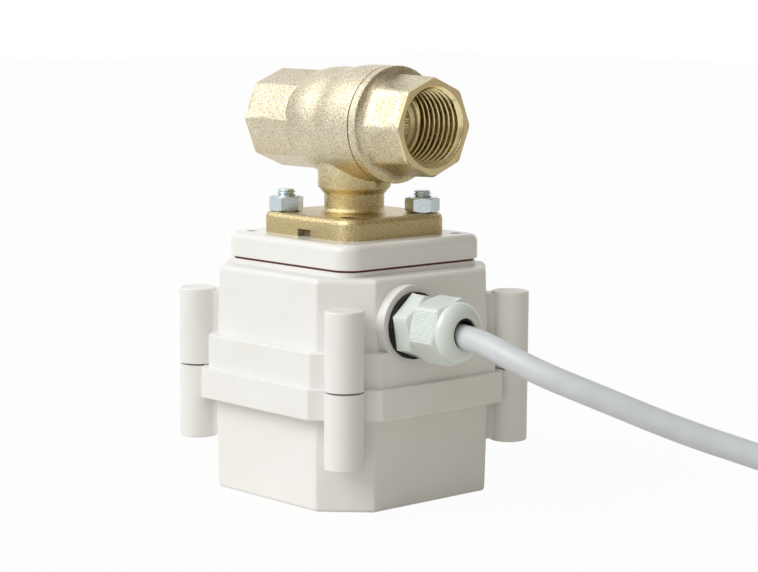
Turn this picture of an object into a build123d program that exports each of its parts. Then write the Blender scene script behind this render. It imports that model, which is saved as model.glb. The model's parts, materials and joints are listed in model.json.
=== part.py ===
from build123d import *
from math import acos, asin, atan2, cos, degrees, hypot, pi, radians, sin, sqrt, tan

# A motorized half-inch ball valve, standing on its actuator's cap with the valve on top.
# Millimetres. Origin: centre of the cap's foot. +Z up, +X along the pipe towards the end
# connector, which is also the side where the cord leaves.

# Actuator housing: a square with cut corners, in two shells that meet at the parting line.
housing_half = 30.8
part_line_z = 32.3
roof_z = 59.6
corner_leg = 10.6
wall = 2.4
roof_thick = 2.6
cap_draft = 0.55
body_step_in = 0.2
body_draft = 0.6
edge_round = 1.2
foot_round = 1.0
roof_round = 1.6
rim_stand_out = 3.9
rim_leg_extra = 2.7
rim_height = 8.0
skirt_stand_out = 2.45
skirt_leg_extra = 2.0
skirt_height = 9.0
rim_round = 0.5
rim_edge_round = 0.25

# Screw pillars at the four corners.
pillar_r = 5.0
pillar_stand_out = 5.44
pillar_foot_z = 12.6
pillar_below_roof = 6.9
pillar_gap = 0.5
pillar_end_round = 0.5
web_thick = 6.0
web_step = 0.6
web_sink = 1.16
cover_screw_r = 1.5
cover_screw_hole_r = 1.8
cover_screw_pilot_r = 1.6
cover_screw_head_r = 2.8
cover_screw_head_h = 2.4
cover_screw_bore_r = 3.2
cover_screw_bore_depth = 5.0
cover_screw_length = 26.0
screw_tip_gap = 1.0

# Cord seal in the parting line.
seal_inset = 1.65
seal_leg_less = 0.95
seal_width = 1.6
seal_height = 2.0
seal_clearance = 0.1

# Mounting pad, gasket and adapter plate between actuator and valve.
pad_inset = 0.55
pad_round = 5.2
pad_height = 1.2
gasket_inset = 0.85
gasket_thick = 0.6
gasket_hole_gap = 1.0
plate_edge_distance = 5.7
plate_round = 5.6
plate_thick = 6.4
plate_edge_round = 2.0
plate_screw_past_bolt = 6.322
plate_screw_r = 1.25
plate_hole_r = 1.5
plate_screw_head_r = 2.4
plate_screw_head_h = 1.8
plate_screw_reach = 3.2
plate_screw_clear = 0.15

# Valve flange and its bolts, on a 36 mm bolt circle.
bolt_circle_d = 36.0
flange_edge_distance = 5.222
flange_round = 4.8
flange_thick = 5.55
flange_edge_round = 1.6
flange_hole_r = 2.6
notch_centre_x = 0.6
notch_width = 5.0
notch_height = 1.9
notch_depth = 3.0
bolt_r = 2.45
bolt_flats = 8.0
bolt_head_h = 3.5
bolt_end_chamfer = 0.5
nut_height = 4.0
nut_turns = (3.0, -13.5)
bolt_stand_out = 1.8
bolt_pocket_clearance = 0.15

# Valve body, end connector and the ball inside.
port_above_flange = 23.65
thread_length_left = 14.1
thread_length_right = 15.2
port_circle_r = 13.2
port_draft = 2.0
port_bevel = 0.2
port_bore_r = 9.32
port_mouth_r = 10.5
port_step = 1.0
waterway_r = 7.0
ball_r = 11.4
ball_clearance = 0.35
seat_clearance = 0.05
seat_inner_r = 7.4
seat_step = 0.2
seat_back_step = 0.4
seat_depth = 4.4
thread_from_seat_left = 4.5
thread_from_seat_right = 4.0
spigot_over_ball = 1.85
spigot_grip = 2.4
seam_past_ball = 2.5
ring_thick = 3.1
ring_over_spigot = 1.95
ring_bevel = 0.4
bonnet_r = 9.65
neck_r = 7.95
neck_height = 4.7
bonnet_step = 2.0
foot_fillet = 1.4
fit_gap = 0.05
seal_before_seam = 1.5
seal_groove_half = 0.75
seal_groove_depth = 1.25
seal_wire_r = 0.6

# Stem: tongue in the ball's slot, collar under the bonnet, square in the output shaft.
stem_r = 5.4
stem_square = 9.0
stem_collar_r = 6.7
stem_collar_h = 2.0
collar_under_ball = 2.55
stem_bore_gap = 0.05
stem_end_gap = 0.4
tongue_thick = 4.0
tongue_width = 8.6
tongue_gap = 0.15
slot_depth = 2.6
thrust_thick = 0.8
stem_seal_wire_r = 0.45
stem_seal_heights = (4.05, 8.25)
stem_groove_gap = 0.15
collar_bore_past = 3.0

# Output shaft, its bush and the gear train.
shaft_r = 8.0
shaft_below_flange = 0.55
socket_depth = 9.4
shaft_mid_r = 5.0
shaft_low_r = 4.0
shaft_below_plate = 12.3
socket_gap = 0.06
bush_wall = 2.0
bush_below_ceiling = 1.8
hub_wall = 2.8
running_gap = 0.04
shaft_plate_gap = 0.4
collar_step = 0.8
collar_thick = 0.8
key_width = 2.0
key_depth = 1.0
d_flat = 3.2
gear_module = 0.5
pressure_angle = 25.0
backlash = 0.12
pinion_teeth = 12
wheel_teeth = 36
output_teeth = 48
output_gear_thick = 4.0
wheel_thick = 3.0
gear_below_bush = 0.6
gear_layer_gap = 1.0
pinion_overlap = 0.2
plate_below_gears = 2.5
second_axis_angle = 120.0
first_axis_angle = 220.0
motor_axis_angle = 270.0
pin_r = 1.0
gear_hub_r = 2.1
pin_boss_r = 2.6
pin_boss_drop = 2.1
pin_sink = 1.2
seal_pocket_step = 0.6
shaft_seal_thick = 2.0
cam_screw_r = 1.2
cam_screw_length = 6.0
cam_screw_head_r = 3.0
cam_screw_head_h = 1.6

# Gear plate and what hangs under it.
gear_plate_thick = 1.6
gear_plate_gap = 1.7
gear_plate_leg = 7.0
post_places = ((-23.0, -15.0), (14.0, -23.4), (22.6, 10.5), (3.5, 23.4))
post_r = 2.6
post_screw_r = 1.2
post_screw_head_r = 2.2
post_screw_head_h = 1.4
post_screw_length = 8.0
motor_screw_offset = 5.6
motor_screw_r = 0.8
motor_screw_head_r = 1.5
motor_screw_head_h = 1.0
motor_screw_reach = 3.0
motor_shaft_r = 1.25
motor_shaft_depth = 4.0
motor_boss_r = 2.4
motor_boss_stand_out = 0.4
motor_r = 8.0
motor_can_step = 0.3
motor_can_round = 0.8
motor_cap_r = 2.5
motor_cap_h = 1.6
motor_tag_offset = 5.0
motor_tag_size = (0.5, 2.0)
motor_length = 15.0
gearhead_length = 8.8
gearhead_groove_z = 0.8
gearhead_groove_width = 0.6
cam_low_r = 7.6
cam_high_r = 8.8
cam_thick = 2.6
cam_hub_r = 5.4
cam_hub_half = 2.95
cam_levels = (3.3, 9.2)
cam_follow_gap = 0.3
cam_steps = 12
cam_dwell = 20.0
switch_depth = 6.5
switch_length = 13.0
switch_thick = 5.8
switch_face_x = 11.0
switch_button_h = 1.15
switch_button_size = (1.4, 1.6)
switch_leg_pitch = 5.0
switch_leg_size = (2.4, 0.5, 1.6)
switch_ear_thick = 0.7
switch_ear_gap = 0.2
switch_screw_pitch = 6.5
switch_screw_r = 1.0
switch_screw_x = 15.2
switch_screw_head_r = 1.8
switch_screw_head_h = 1.2
lever_pivot = (9.9, 6.0)
lever_barrel_r = 0.8
lever_pin_r = 0.4
lever_thick = 0.4
lever_width = 3.2
lever_reach = 10.0

# Circuit board in the cap.
board_gap = 2.85
board_leg = 9.0
board_thick = 1.6
board_z = 6.0
board_post_spacing = 38.0
board_post_r = 2.8
board_screw_r = 1.0
terminal_x = 17.0
terminal_y = -10.2
terminal_size = (8.0, 13.0, 8.0)
terminal_chamfer = 2.0
board_screw_head_r = 1.9
board_screw_head_h = 1.2
capacitor_place = (8.0, 15.0)
capacitor_r = 4.0
capacitor_height = 9.0
capacitor_round = 0.6

# Cord: one metre of round three-core cable, of which the free stretch is chosen by hand.
cord_r = 3.1
cable_route = (
    (33.05, -9.47, 47.5),
    (53.3, -9.47, 47.5),
    (72.8, -8.6, 41.4),
    (89.0, 0.4, 35.1),
    (104.5, 12.0, 27.9),
    (118.5, 22.7, 22.8),
    (136.2, 34.19, 16.2),
    (155.495, 43.054, 9.82),
    (172.335, 46.023, 9.82),
)
core_r = 0.9
core_pitch = 3.5
core_depth = 2.0
core_notch_x = 12.4
core_notch_y = -11.1
core_notch_width = 11.4
core_turn_x = (14.0, 15.6, 15.6)
core_fan_z = (25.5, 19.0)
core_bundle = ((0.0, 1.15), (-1.0, -0.6), (1.0, -0.6))
core_floor_z = 1.3
core_ends_fan = (
    ((4.0, 0.0), (15.0, -0.8), (26.0, -3.4)),
    ((3.0, -1.0), (12.0, -3.6), (25.0, -9.6)),
    ((3.0, 1.0), (12.0, 2.3), (24.0, 3.0)),
)
sleeve_overlap = 4.0
sleeve_step = 1.5
sleeve_collar_r = 1.2
sleeve_pin_r = 0.65
sleeve_pin_step = 0.3
sleeve_length = 8.0
coil_centre = (185.3, 8.2)
coil_outer_r = 39.5
coil_pitch_gap = 0.55
coil_layer_gap = 0.5
coil_floor_gap = 0.02
coil_turns_per_layer = 1.75
coil_climb_turns = 0.5
coil_heading = 10.0
coil_lead = 6.2

# Cable gland.
gland_y = -9.47
gland_below_roof = 12.1
boss_r = 10.2
boss_sink = 0.4
gland_hole_r = 6.1
gland_shank_r = 5.95
gland_shank_past_nut = 1.5
gland_lip = 0.5
gland_bore_gap = 0.5
washer_r = 8.5
washer_thick = 1.2
gland_hex_flats = 15.0
gland_hex_length = 5.3
gland_hex_turn = 40.0
gland_thread_r = 6.2
gland_mouth_reach = 6.8
gland_nut_gap = 0.45
gland_nut_flats = 15.4
gland_nut_turn = 15.0
gland_nut_hex_length = 9.0
gland_nut_end_gap = 0.3
dome_r = 7.7
dome_length = 3.0
dome_hole_gap = 0.7
dome_flat_r = 5.4
insert_wall = 2.0
insert_sink = 1.05
insert_length = 7.7
locknut_flats = 16.0
locknut_thick = 4.0
nut_notch_gap = 0.4
nut_notch_width = 20.0
tail_past_shank = 0.5

# Places that follow from the sizes above.
cap_foot_half = housing_half - cap_draft
body_foot_half = housing_half - body_step_in
body_top_half = body_foot_half - body_draft
cap_rim_half = housing_half + rim_stand_out
cap_rim_leg = corner_leg + rim_leg_extra
cap_rim_z = part_line_z - rim_height
skirt_half = body_foot_half + skirt_stand_out
skirt_leg = corner_leg + skirt_leg_extra
skirt_top_z = part_line_z + skirt_height
seal_half = skirt_half - seal_inset
seal_leg = skirt_leg - seal_leg_less
pillar_circle_r = (2 * housing_half - corner_leg) / sqrt(2) + pillar_stand_out
pillar_top_z = roof_z - pillar_below_roof
web_reach = pillar_stand_out + web_sink
cover_screw_seat_z = pillar_foot_z + cover_screw_bore_depth
cover_pilot_depth = cover_screw_seat_z + cover_screw_length + screw_tip_gap - part_line_z
pad_z = roof_z + pad_height
plate_z = pad_z + gasket_thick
flange_z = plate_z + plate_thick
flange_top_z = flange_z + flange_thick
port_z = flange_top_z + port_above_flange
nut_top_z = flange_top_z + nut_height
bolt_end_z = nut_top_z + bolt_stand_out
ceiling_z = roof_z - roof_thick
bolt_offset = bolt_circle_d / 2 / sqrt(2)
bolt_places = ((-bolt_offset, -bolt_offset), (bolt_offset, bolt_offset))
flange_half = bolt_offset + flange_edge_distance
plate_screw_spacing = 2 * (bolt_offset + plate_screw_past_bolt)
plate_half = plate_screw_spacing / 2 + plate_edge_distance
pad_half = plate_half - pad_inset
gasket_half = plate_half - gasket_inset
bush_r = shaft_r + bush_wall
hub_r = bush_r + hub_wall
bush_foot_z = ceiling_z - bush_below_ceiling
pin_boss_z = ceiling_z - pin_boss_drop
pin_top_z = ceiling_z + pin_sink
output_gear_z = bush_foot_z - gear_below_bush - output_gear_thick
second_wheel_z = output_gear_z - gear_layer_gap - wheel_thick
first_wheel_z = second_wheel_z - gear_layer_gap - wheel_thick
gear_plate_top_z = first_wheel_z - plate_below_gears
gear_plate_z = gear_plate_top_z - gear_plate_thick
gear_plate_half = body_top_half - wall - gear_plate_gap
shaft_top_z = flange_z - shaft_below_flange
socket_floor_z = shaft_top_z - socket_depth
shaft_foot_z = gear_plate_z - shaft_below_plate
stem_foot_z = socket_floor_z + stem_end_gap
stem_collar_z = port_z - ball_r - collar_under_ball - stem_collar_h
stem_seal_z = [flange_z + height for height in stem_seal_heights]
cam_levels_z = [gear_plate_z - level for level in cam_levels]
switch_levels_z = (gear_plate_z - switch_thick / 2, gear_plate_z - switch_thick * 1.5)
collar_r = shaft_r + collar_step
seat_outer_r = ball_r - seat_step
seat_back_x = ball_r - seat_back_step
seat_front_x = seat_back_x - seat_depth
spigot_r = ball_r + spigot_over_ball
spigot_x = seat_back_x - spigot_grip
seam_x = ball_r + seam_past_ball
seal_groove_x = seam_x - seal_before_seam
seal_groove_r = spigot_r - seal_groove_depth
ring_x = seam_x + ring_thick
ring_r = spigot_r + ring_over_spigot
left_thread_end_x = -seat_back_x - thread_from_seat_left
right_thread_end_x = seat_back_x + thread_from_seat_right
left_end_x = left_thread_end_x - thread_length_left
right_end_x = right_thread_end_x + thread_length_right
right_port_end_r = port_circle_r - (right_end_x - ring_x) * tan(radians(port_draft)) / cos(pi / 8)
body_outline = (
    (-ball_r - 2.1, ball_r + 1.2),
    (-ball_r + 2.0, ball_r + 2.45),
    (-4.5, ball_r + 3.05),
    (0.2, ball_r + 3.0),
    (4.8, ball_r + 3.65),
    (ball_r - 2.0, ball_r + 3.85),
    (seam_x, ring_r),
)
pipe_axis = Axis((0, 0, port_z), (1, 0, 0))
boss_face_x = skirt_half
boss_inner_x = body_top_half - wall - boss_sink
gland_z = roof_z - gland_below_roof
washer_end_x = boss_face_x + washer_thick
gland_hex_end_x = washer_end_x + gland_hex_length
gland_nut_x = gland_hex_end_x + gland_nut_gap
gland_mouth_x = gland_nut_x + gland_mouth_reach
insert_start_x = gland_hex_end_x - insert_sink
insert_r = cord_r + insert_wall
dome_hole_r = cord_r + dome_hole_gap
locknut_x = boss_inner_x - locknut_thick
shank_foot_x = locknut_x - gland_shank_past_nut
tail_end_x = shank_foot_x - tail_past_shank
nut_notch_x = locknut_x - nut_notch_gap
board_half = cap_foot_half - wall - board_gap
coil_pitch = 2 * cord_r + coil_pitch_gap
coil_layer_rise = 2 * cord_r + coil_layer_gap
coil_floor_z = cord_r + coil_floor_gap
wheel_r = gear_module * wheel_teeth / 2
pinion_r = gear_module * pinion_teeth / 2
output_r = gear_module * output_teeth / 2
groove_half = seal_width / 2 + seal_clearance


def octagon(base_half, base_leg, rounding, growth=0.0):
    """A square with its corners cut off by a leg, grown evenly, its eight corners rounded."""
    half_width = base_half + growth
    straight = half_width - base_leg - growth * (2 - sqrt(2))
    with BuildSketch() as outline:
        Polygon(
            (half_width, straight),
            (straight, half_width),
            (-straight, half_width),
            (-half_width, straight),
            (-half_width, -straight),
            (-straight, -half_width),
            (straight, -half_width),
            (half_width, -straight),
        )
        if rounding > 0:
            fillet(outline.vertices(), rounding)
    return outline.sketch


def polar(radius, angle, centre=(0, 0)):
    """The point at a radius and an angle in degrees about a centre."""
    return (centre[0] + radius * cos(radians(angle)), centre[1] + radius * sin(radians(angle)))


def screw(head_r, head_h, shank_r, length):
    """A pan head screw: its seat at the origin, the shank up +Z and the head below."""
    with BuildPart() as shape:
        with BuildSketch(Plane.XZ):
            Polygon(
                (0, -head_h),
                (head_r * 0.75, -head_h),
                (head_r, -head_h * 0.4),
                (head_r, 0),
                (shank_r, 0),
                (shank_r, length - shank_r),
                (shank_r * 0.4, length),
                (0, length),
                align=None,
            )
        revolve(axis=Axis.Z)
    return shape.part


def hex_block(flats, height, bore_r):
    """A hexagon nut blank with turned corners, from z 0 up, with its bore."""
    corner_r = flats / sqrt(3)
    turned = (corner_r - flats / 2) * 0.6
    with BuildPart() as shape:
        with BuildSketch():
            RegularPolygon(flats / 2, 6, major_radius=False)
        extrude(amount=height)
        with BuildSketch(Plane.XZ):
            Polygon(
                (flats / 2, height),
                (corner_r + 1, height),
                (corner_r + 1, height - turned),
                (corner_r, height - turned),
                align=None,
            )
            Polygon(
                (flats / 2, 0),
                (corner_r + 1, 0),
                (corner_r + 1, turned),
                (corner_r, turned),
                align=None,
            )
        revolve(axis=Axis.Z, mode=Mode.SUBTRACT)
        if bore_r > 0:
            with Locations(Plane.XY.offset(height)):
                Hole(bore_r)
    return shape.part


# Cap: the lower shell, open at the top, with its pillars, screw bores and board posts.
with BuildPart() as actuator_cap:
    with BuildSketch(Plane.XY.offset(cap_rim_z)):
        add(octagon(cap_rim_half, cap_rim_leg, edge_round))
    extrude(amount=part_line_z - cap_rim_z)
    fillet(actuator_cap.faces().sort_by(Axis.Z)[0].edges(), rim_round)
    fillet(actuator_cap.faces().sort_by(Axis.Z)[-1].edges(), rim_edge_round)
    with BuildSketch():
        add(octagon(cap_foot_half, corner_leg, edge_round))
    with BuildSketch(Plane.XY.offset(part_line_z)):
        add(octagon(housing_half, corner_leg, edge_round))
    loft(ruled=True)
    fillet(actuator_cap.edges().group_by(Axis.Z)[0], foot_round)
    with BuildSketch(Plane.XY.offset(pillar_foot_z)):
        with PolarLocations(pillar_circle_r, 4, 45):
            Circle(pillar_r)
    pillars = extrude(amount=part_line_z - pillar_gap / 2 - pillar_foot_z)
    fillet(pillars.edges().group_by(Axis.Z)[0], pillar_end_round)
    with BuildSketch(Plane.XY.offset(pillar_foot_z + web_step)):
        with PolarLocations(pillar_circle_r, 4, 45):
            Rectangle(web_reach, web_thick, align=(Align.MAX, Align.CENTER))
    extrude(amount=part_line_z - pillar_gap / 2 - pillar_foot_z - web_step)
    with BuildSketch(Plane.XY.offset(wall)):
        add(octagon(cap_foot_half, corner_leg, edge_round, -wall))
    with BuildSketch(Plane.XY.offset(part_line_z)):
        add(octagon(housing_half, corner_leg, edge_round, -wall))
    loft(ruled=True, mode=Mode.SUBTRACT)
    with BuildSketch(Plane.XY.offset(part_line_z)):
        add(octagon(seal_half, seal_leg, edge_round, groove_half))
        add(octagon(seal_half, seal_leg, edge_round, -groove_half), mode=Mode.SUBTRACT)
    extrude(amount=-seal_height / 2, mode=Mode.SUBTRACT)
    with BuildSketch(Plane.XY.offset(wall)):
        with GridLocations(board_post_spacing, board_post_spacing, 2, 2):
            Circle(board_post_r)
    extrude(amount=board_z - wall)
    with Locations(Plane.XY.offset(board_z)):
        with GridLocations(board_post_spacing, board_post_spacing, 2, 2):
            Hole(board_screw_r, board_z - wall)
    with Locations(Plane((0, 0, pillar_foot_z), (1, 0, 0), (0, 0, -1))):
        with PolarLocations(pillar_circle_r, 4, 45):
            CounterBoreHole(cover_screw_hole_r, cover_screw_bore_r, cover_screw_bore_depth)

actuator_cap.part.label = "actuator_cap"
export_step(actuator_cap.part, "parts/actuator_cap.step")

# Body: the upper shell, open at the bottom, with skirt, pillars, pad and cable boss.
second_axis = polar(output_r + pinion_r, second_axis_angle)
first_axis = polar(wheel_r + pinion_r, first_axis_angle, second_axis)
motor_axis = polar(wheel_r + pinion_r, motor_axis_angle, first_axis)
with BuildPart() as actuator_body:
    with BuildSketch(Plane.XY.offset(part_line_z)):
        add(octagon(skirt_half, skirt_leg, edge_round))
    extrude(amount=skirt_top_z - part_line_z)
    fillet(actuator_body.faces().sort_by(Axis.Z)[-1].edges(), rim_round)
    with BuildSketch(Plane.XY.offset(part_line_z)):
        add(octagon(body_foot_half, corner_leg, edge_round))
    with BuildSketch(Plane.XY.offset(roof_z)):
        add(octagon(body_top_half, corner_leg, edge_round))
    loft(ruled=True)
    fillet(actuator_body.edges().group_by(Axis.Z)[-1], roof_round)
    with BuildSketch(Plane.XY.offset(roof_z)):
        RectangleRounded(2 * pad_half, 2 * pad_half, pad_round)
    extrude(amount=pad_height)
    with BuildSketch(Plane.XY.offset(pillar_top_z)):
        with PolarLocations(pillar_circle_r, 4, 45):
            Circle(pillar_r)
    pillars = extrude(amount=part_line_z + pillar_gap / 2 - pillar_top_z)
    fillet(pillars.edges().group_by(Axis.Z)[-1], pillar_end_round)
    with BuildSketch(Plane.XY.offset(pillar_top_z - web_step)):
        with PolarLocations(pillar_circle_r, 4, 45):
            Rectangle(web_reach, web_thick, align=(Align.MAX, Align.CENTER))
    extrude(amount=part_line_z + pillar_gap / 2 - pillar_top_z + web_step)
    with BuildSketch(Plane.XY.offset(part_line_z)):
        add(octagon(body_foot_half, corner_leg, edge_round, -wall))
    with BuildSketch(Plane.XY.offset(ceiling_z)):
        add(octagon(body_top_half, corner_leg, edge_round, -wall))
    loft(ruled=True, mode=Mode.SUBTRACT)
    with BuildSketch(Plane.XY.offset(part_line_z)):
        add(octagon(seal_half, seal_leg, edge_round, groove_half))
        add(octagon(seal_half, seal_leg, edge_round, -groove_half), mode=Mode.SUBTRACT)
    extrude(amount=seal_height / 2, mode=Mode.SUBTRACT)
    with BuildSketch(Plane.YZ.offset(boss_inner_x)):
        with Locations((gland_y, gland_z)):
            Circle(boss_r)
    extrude(amount=boss_face_x - boss_inner_x)
    with BuildSketch(Plane.XY.offset(ceiling_z)):
        Circle(hub_r)
    extrude(amount=bush_foot_z - ceiling_z)
    with BuildSketch(Plane.XY.offset(ceiling_z)):
        with Locations(*post_places):
            Circle(post_r)
    extrude(amount=gear_plate_top_z - ceiling_z)
    with BuildSketch(Plane.XY.offset(ceiling_z)):
        with Locations(first_axis, second_axis):
            Circle(pin_boss_r)
    extrude(amount=pin_boss_z - ceiling_z)
    with Locations(Plane((0, 0, pin_boss_z), (1, 0, 0), (0, 0, -1))):
        with Locations((first_axis[0], -first_axis[1]), (second_axis[0], -second_axis[1])):
            Hole(pin_r + fit_gap / 2, pin_top_z - pin_boss_z + fit_gap)
    with Locations(Plane((0, 0, gear_plate_top_z), (1, 0, 0), (0, 0, -1))):
        with Locations(*[(x, -y) for x, y in post_places]):
            Hole(post_screw_r + fit_gap, post_screw_length)
    with Locations(Plane.XY.offset(pad_z)):
        Hole(bush_r + fit_gap / 2)
        with GridLocations(plate_screw_spacing, plate_screw_spacing, 2, 2):
            Hole(plate_screw_r + plate_screw_clear)
    with Locations(Plane.XY.offset(ceiling_z)):
        with GridLocations(plate_screw_spacing, plate_screw_spacing, 2, 2):
            Hole(plate_screw_head_r + plate_screw_clear, plate_screw_head_h + plate_screw_clear)
    with Locations(Plane((boss_face_x, gland_y, gland_z), (0, 1, 0), (1, 0, 0))):
        Hole(gland_hole_r, boss_face_x - boss_inner_x)
    with Locations(Plane((0, 0, part_line_z), (1, 0, 0), (0, 0, -1))):
        with PolarLocations(pillar_circle_r, 4, 45):
            Hole(cover_screw_pilot_r, cover_pilot_depth)

actuator_body.part.label = "actuator_body"
export_step(actuator_body.part, "parts/actuator_body.step")

# Cord seal: one closed ring that fills both grooves.
with BuildPart() as housing_seal:
    with BuildSketch(Plane.XY.offset(part_line_z - seal_height / 2)):
        add(octagon(seal_half, seal_leg, edge_round, seal_width / 2))
        add(octagon(seal_half, seal_leg, edge_round, -seal_width / 2), mode=Mode.SUBTRACT)
    extrude(amount=seal_height)

housing_seal.part.label = "housing_seal"
export_step(housing_seal.part, "parts/housing_seal.step")

# Cover screws: up the pillars from below, out of sight.
cover_screw = screw(cover_screw_head_r, cover_screw_head_h, cover_screw_r, cover_screw_length)
with BuildPart() as cover_screws:
    with Locations(Plane.XY.offset(cover_screw_seat_z)):
        with PolarLocations(pillar_circle_r, 4, 45):
            add(cover_screw)

cover_screws.part.label = "cover_screws"
export_step(cover_screws.part, "parts/cover_screws.step")

# Gasket between the pad and the adapter plate.
with BuildPart() as adapter_gasket:
    with BuildSketch(Plane.XY.offset(pad_z)):
        RectangleRounded(2 * gasket_half, 2 * gasket_half, pad_round)
        Circle(bush_r + gasket_hole_gap, mode=Mode.SUBTRACT)
        with GridLocations(plate_screw_spacing, plate_screw_spacing, 2, 2):
            Circle(plate_screw_r + plate_screw_clear, mode=Mode.SUBTRACT)
    extrude(amount=gasket_thick)

adapter_gasket.part.label = "adapter_gasket"
export_step(adapter_gasket.part, "parts/adapter_gasket.step")

# Adapter plate: carries the valve, with pockets that keep the bolt heads from turning.
seal_pocket_r = bush_r + seal_pocket_step
with BuildPart() as adapter_plate:
    with BuildSketch(Plane.XY.offset(plate_z)):
        RectangleRounded(2 * plate_half, 2 * plate_half, plate_round)
    extrude(amount=plate_thick)
    fillet(adapter_plate.faces().sort_by(Axis.Z)[-1].edges(), plate_edge_round)
    fillet(adapter_plate.faces().sort_by(Axis.Z)[0].edges(), rim_edge_round)
    with BuildSketch(Plane.XY.offset(plate_z)):
        with Locations(*bolt_places):
            RegularPolygon(bolt_flats / 2 + bolt_pocket_clearance, 6, major_radius=False)
    extrude(amount=bolt_head_h + fit_gap, mode=Mode.SUBTRACT)
    with BuildSketch(Plane.XY.offset(plate_z)):
        Circle(seal_pocket_r)
    extrude(amount=shaft_seal_thick + fit_gap, mode=Mode.SUBTRACT)
    with Locations(Plane.XY.offset(flange_z)):
        Hole(shaft_r + shaft_plate_gap)
        with GridLocations(plate_screw_spacing, plate_screw_spacing, 2, 2):
            Hole(plate_hole_r)
        with Locations(*bolt_places):
            Hole(bolt_r + bolt_pocket_clearance)

adapter_plate.part.label = "adapter_plate"
export_step(adapter_plate.part, "parts/adapter_plate.step")

plate_screw_length = plate_z + plate_screw_reach - ceiling_z
plate_screw = screw(plate_screw_head_r, plate_screw_head_h, plate_screw_r, plate_screw_length)
with BuildPart() as adapter_screws:
    with Locations(Plane.XY.offset(ceiling_z)):
        with GridLocations(plate_screw_spacing, plate_screw_spacing, 2, 2):
            add(plate_screw)

adapter_screws.part.label = "adapter_screws"
export_step(adapter_screws.part, "parts/adapter_screws.step")

# Flange bolts: heads in the plate's pockets, ends standing out of the nuts.
bolt_head = hex_block(bolt_flats, bolt_head_h, 0)
with BuildPart() as flange_bolts:
    with Locations(Plane.XY.offset(plate_z)):
        with Locations(*bolt_places):
            add(bolt_head)
    with BuildSketch(Plane.XY.offset(plate_z + bolt_head_h)):
        with Locations(*bolt_places):
            Circle(bolt_r)
    extrude(amount=bolt_end_z - plate_z - bolt_head_h)
    chamfer(flange_bolts.faces().group_by(Axis.Z)[-1].edges(), bolt_end_chamfer)

flange_bolts.part.label = "flange_bolts"
export_step(flange_bolts.part, "parts/flange_bolts.step")

flange_nut = hex_block(bolt_flats, nut_height, bolt_r + fit_gap)
with BuildPart() as flange_nuts:
    for (bolt_x, bolt_y), turn in zip(bolt_places, nut_turns):
        with Locations(Location((bolt_x, bolt_y, flange_top_z), (0, 0, turn))):
            add(flange_nut)

flange_nuts.part.label = "flange_nuts"
export_step(flange_nuts.part, "parts/flange_nuts.step")

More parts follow.
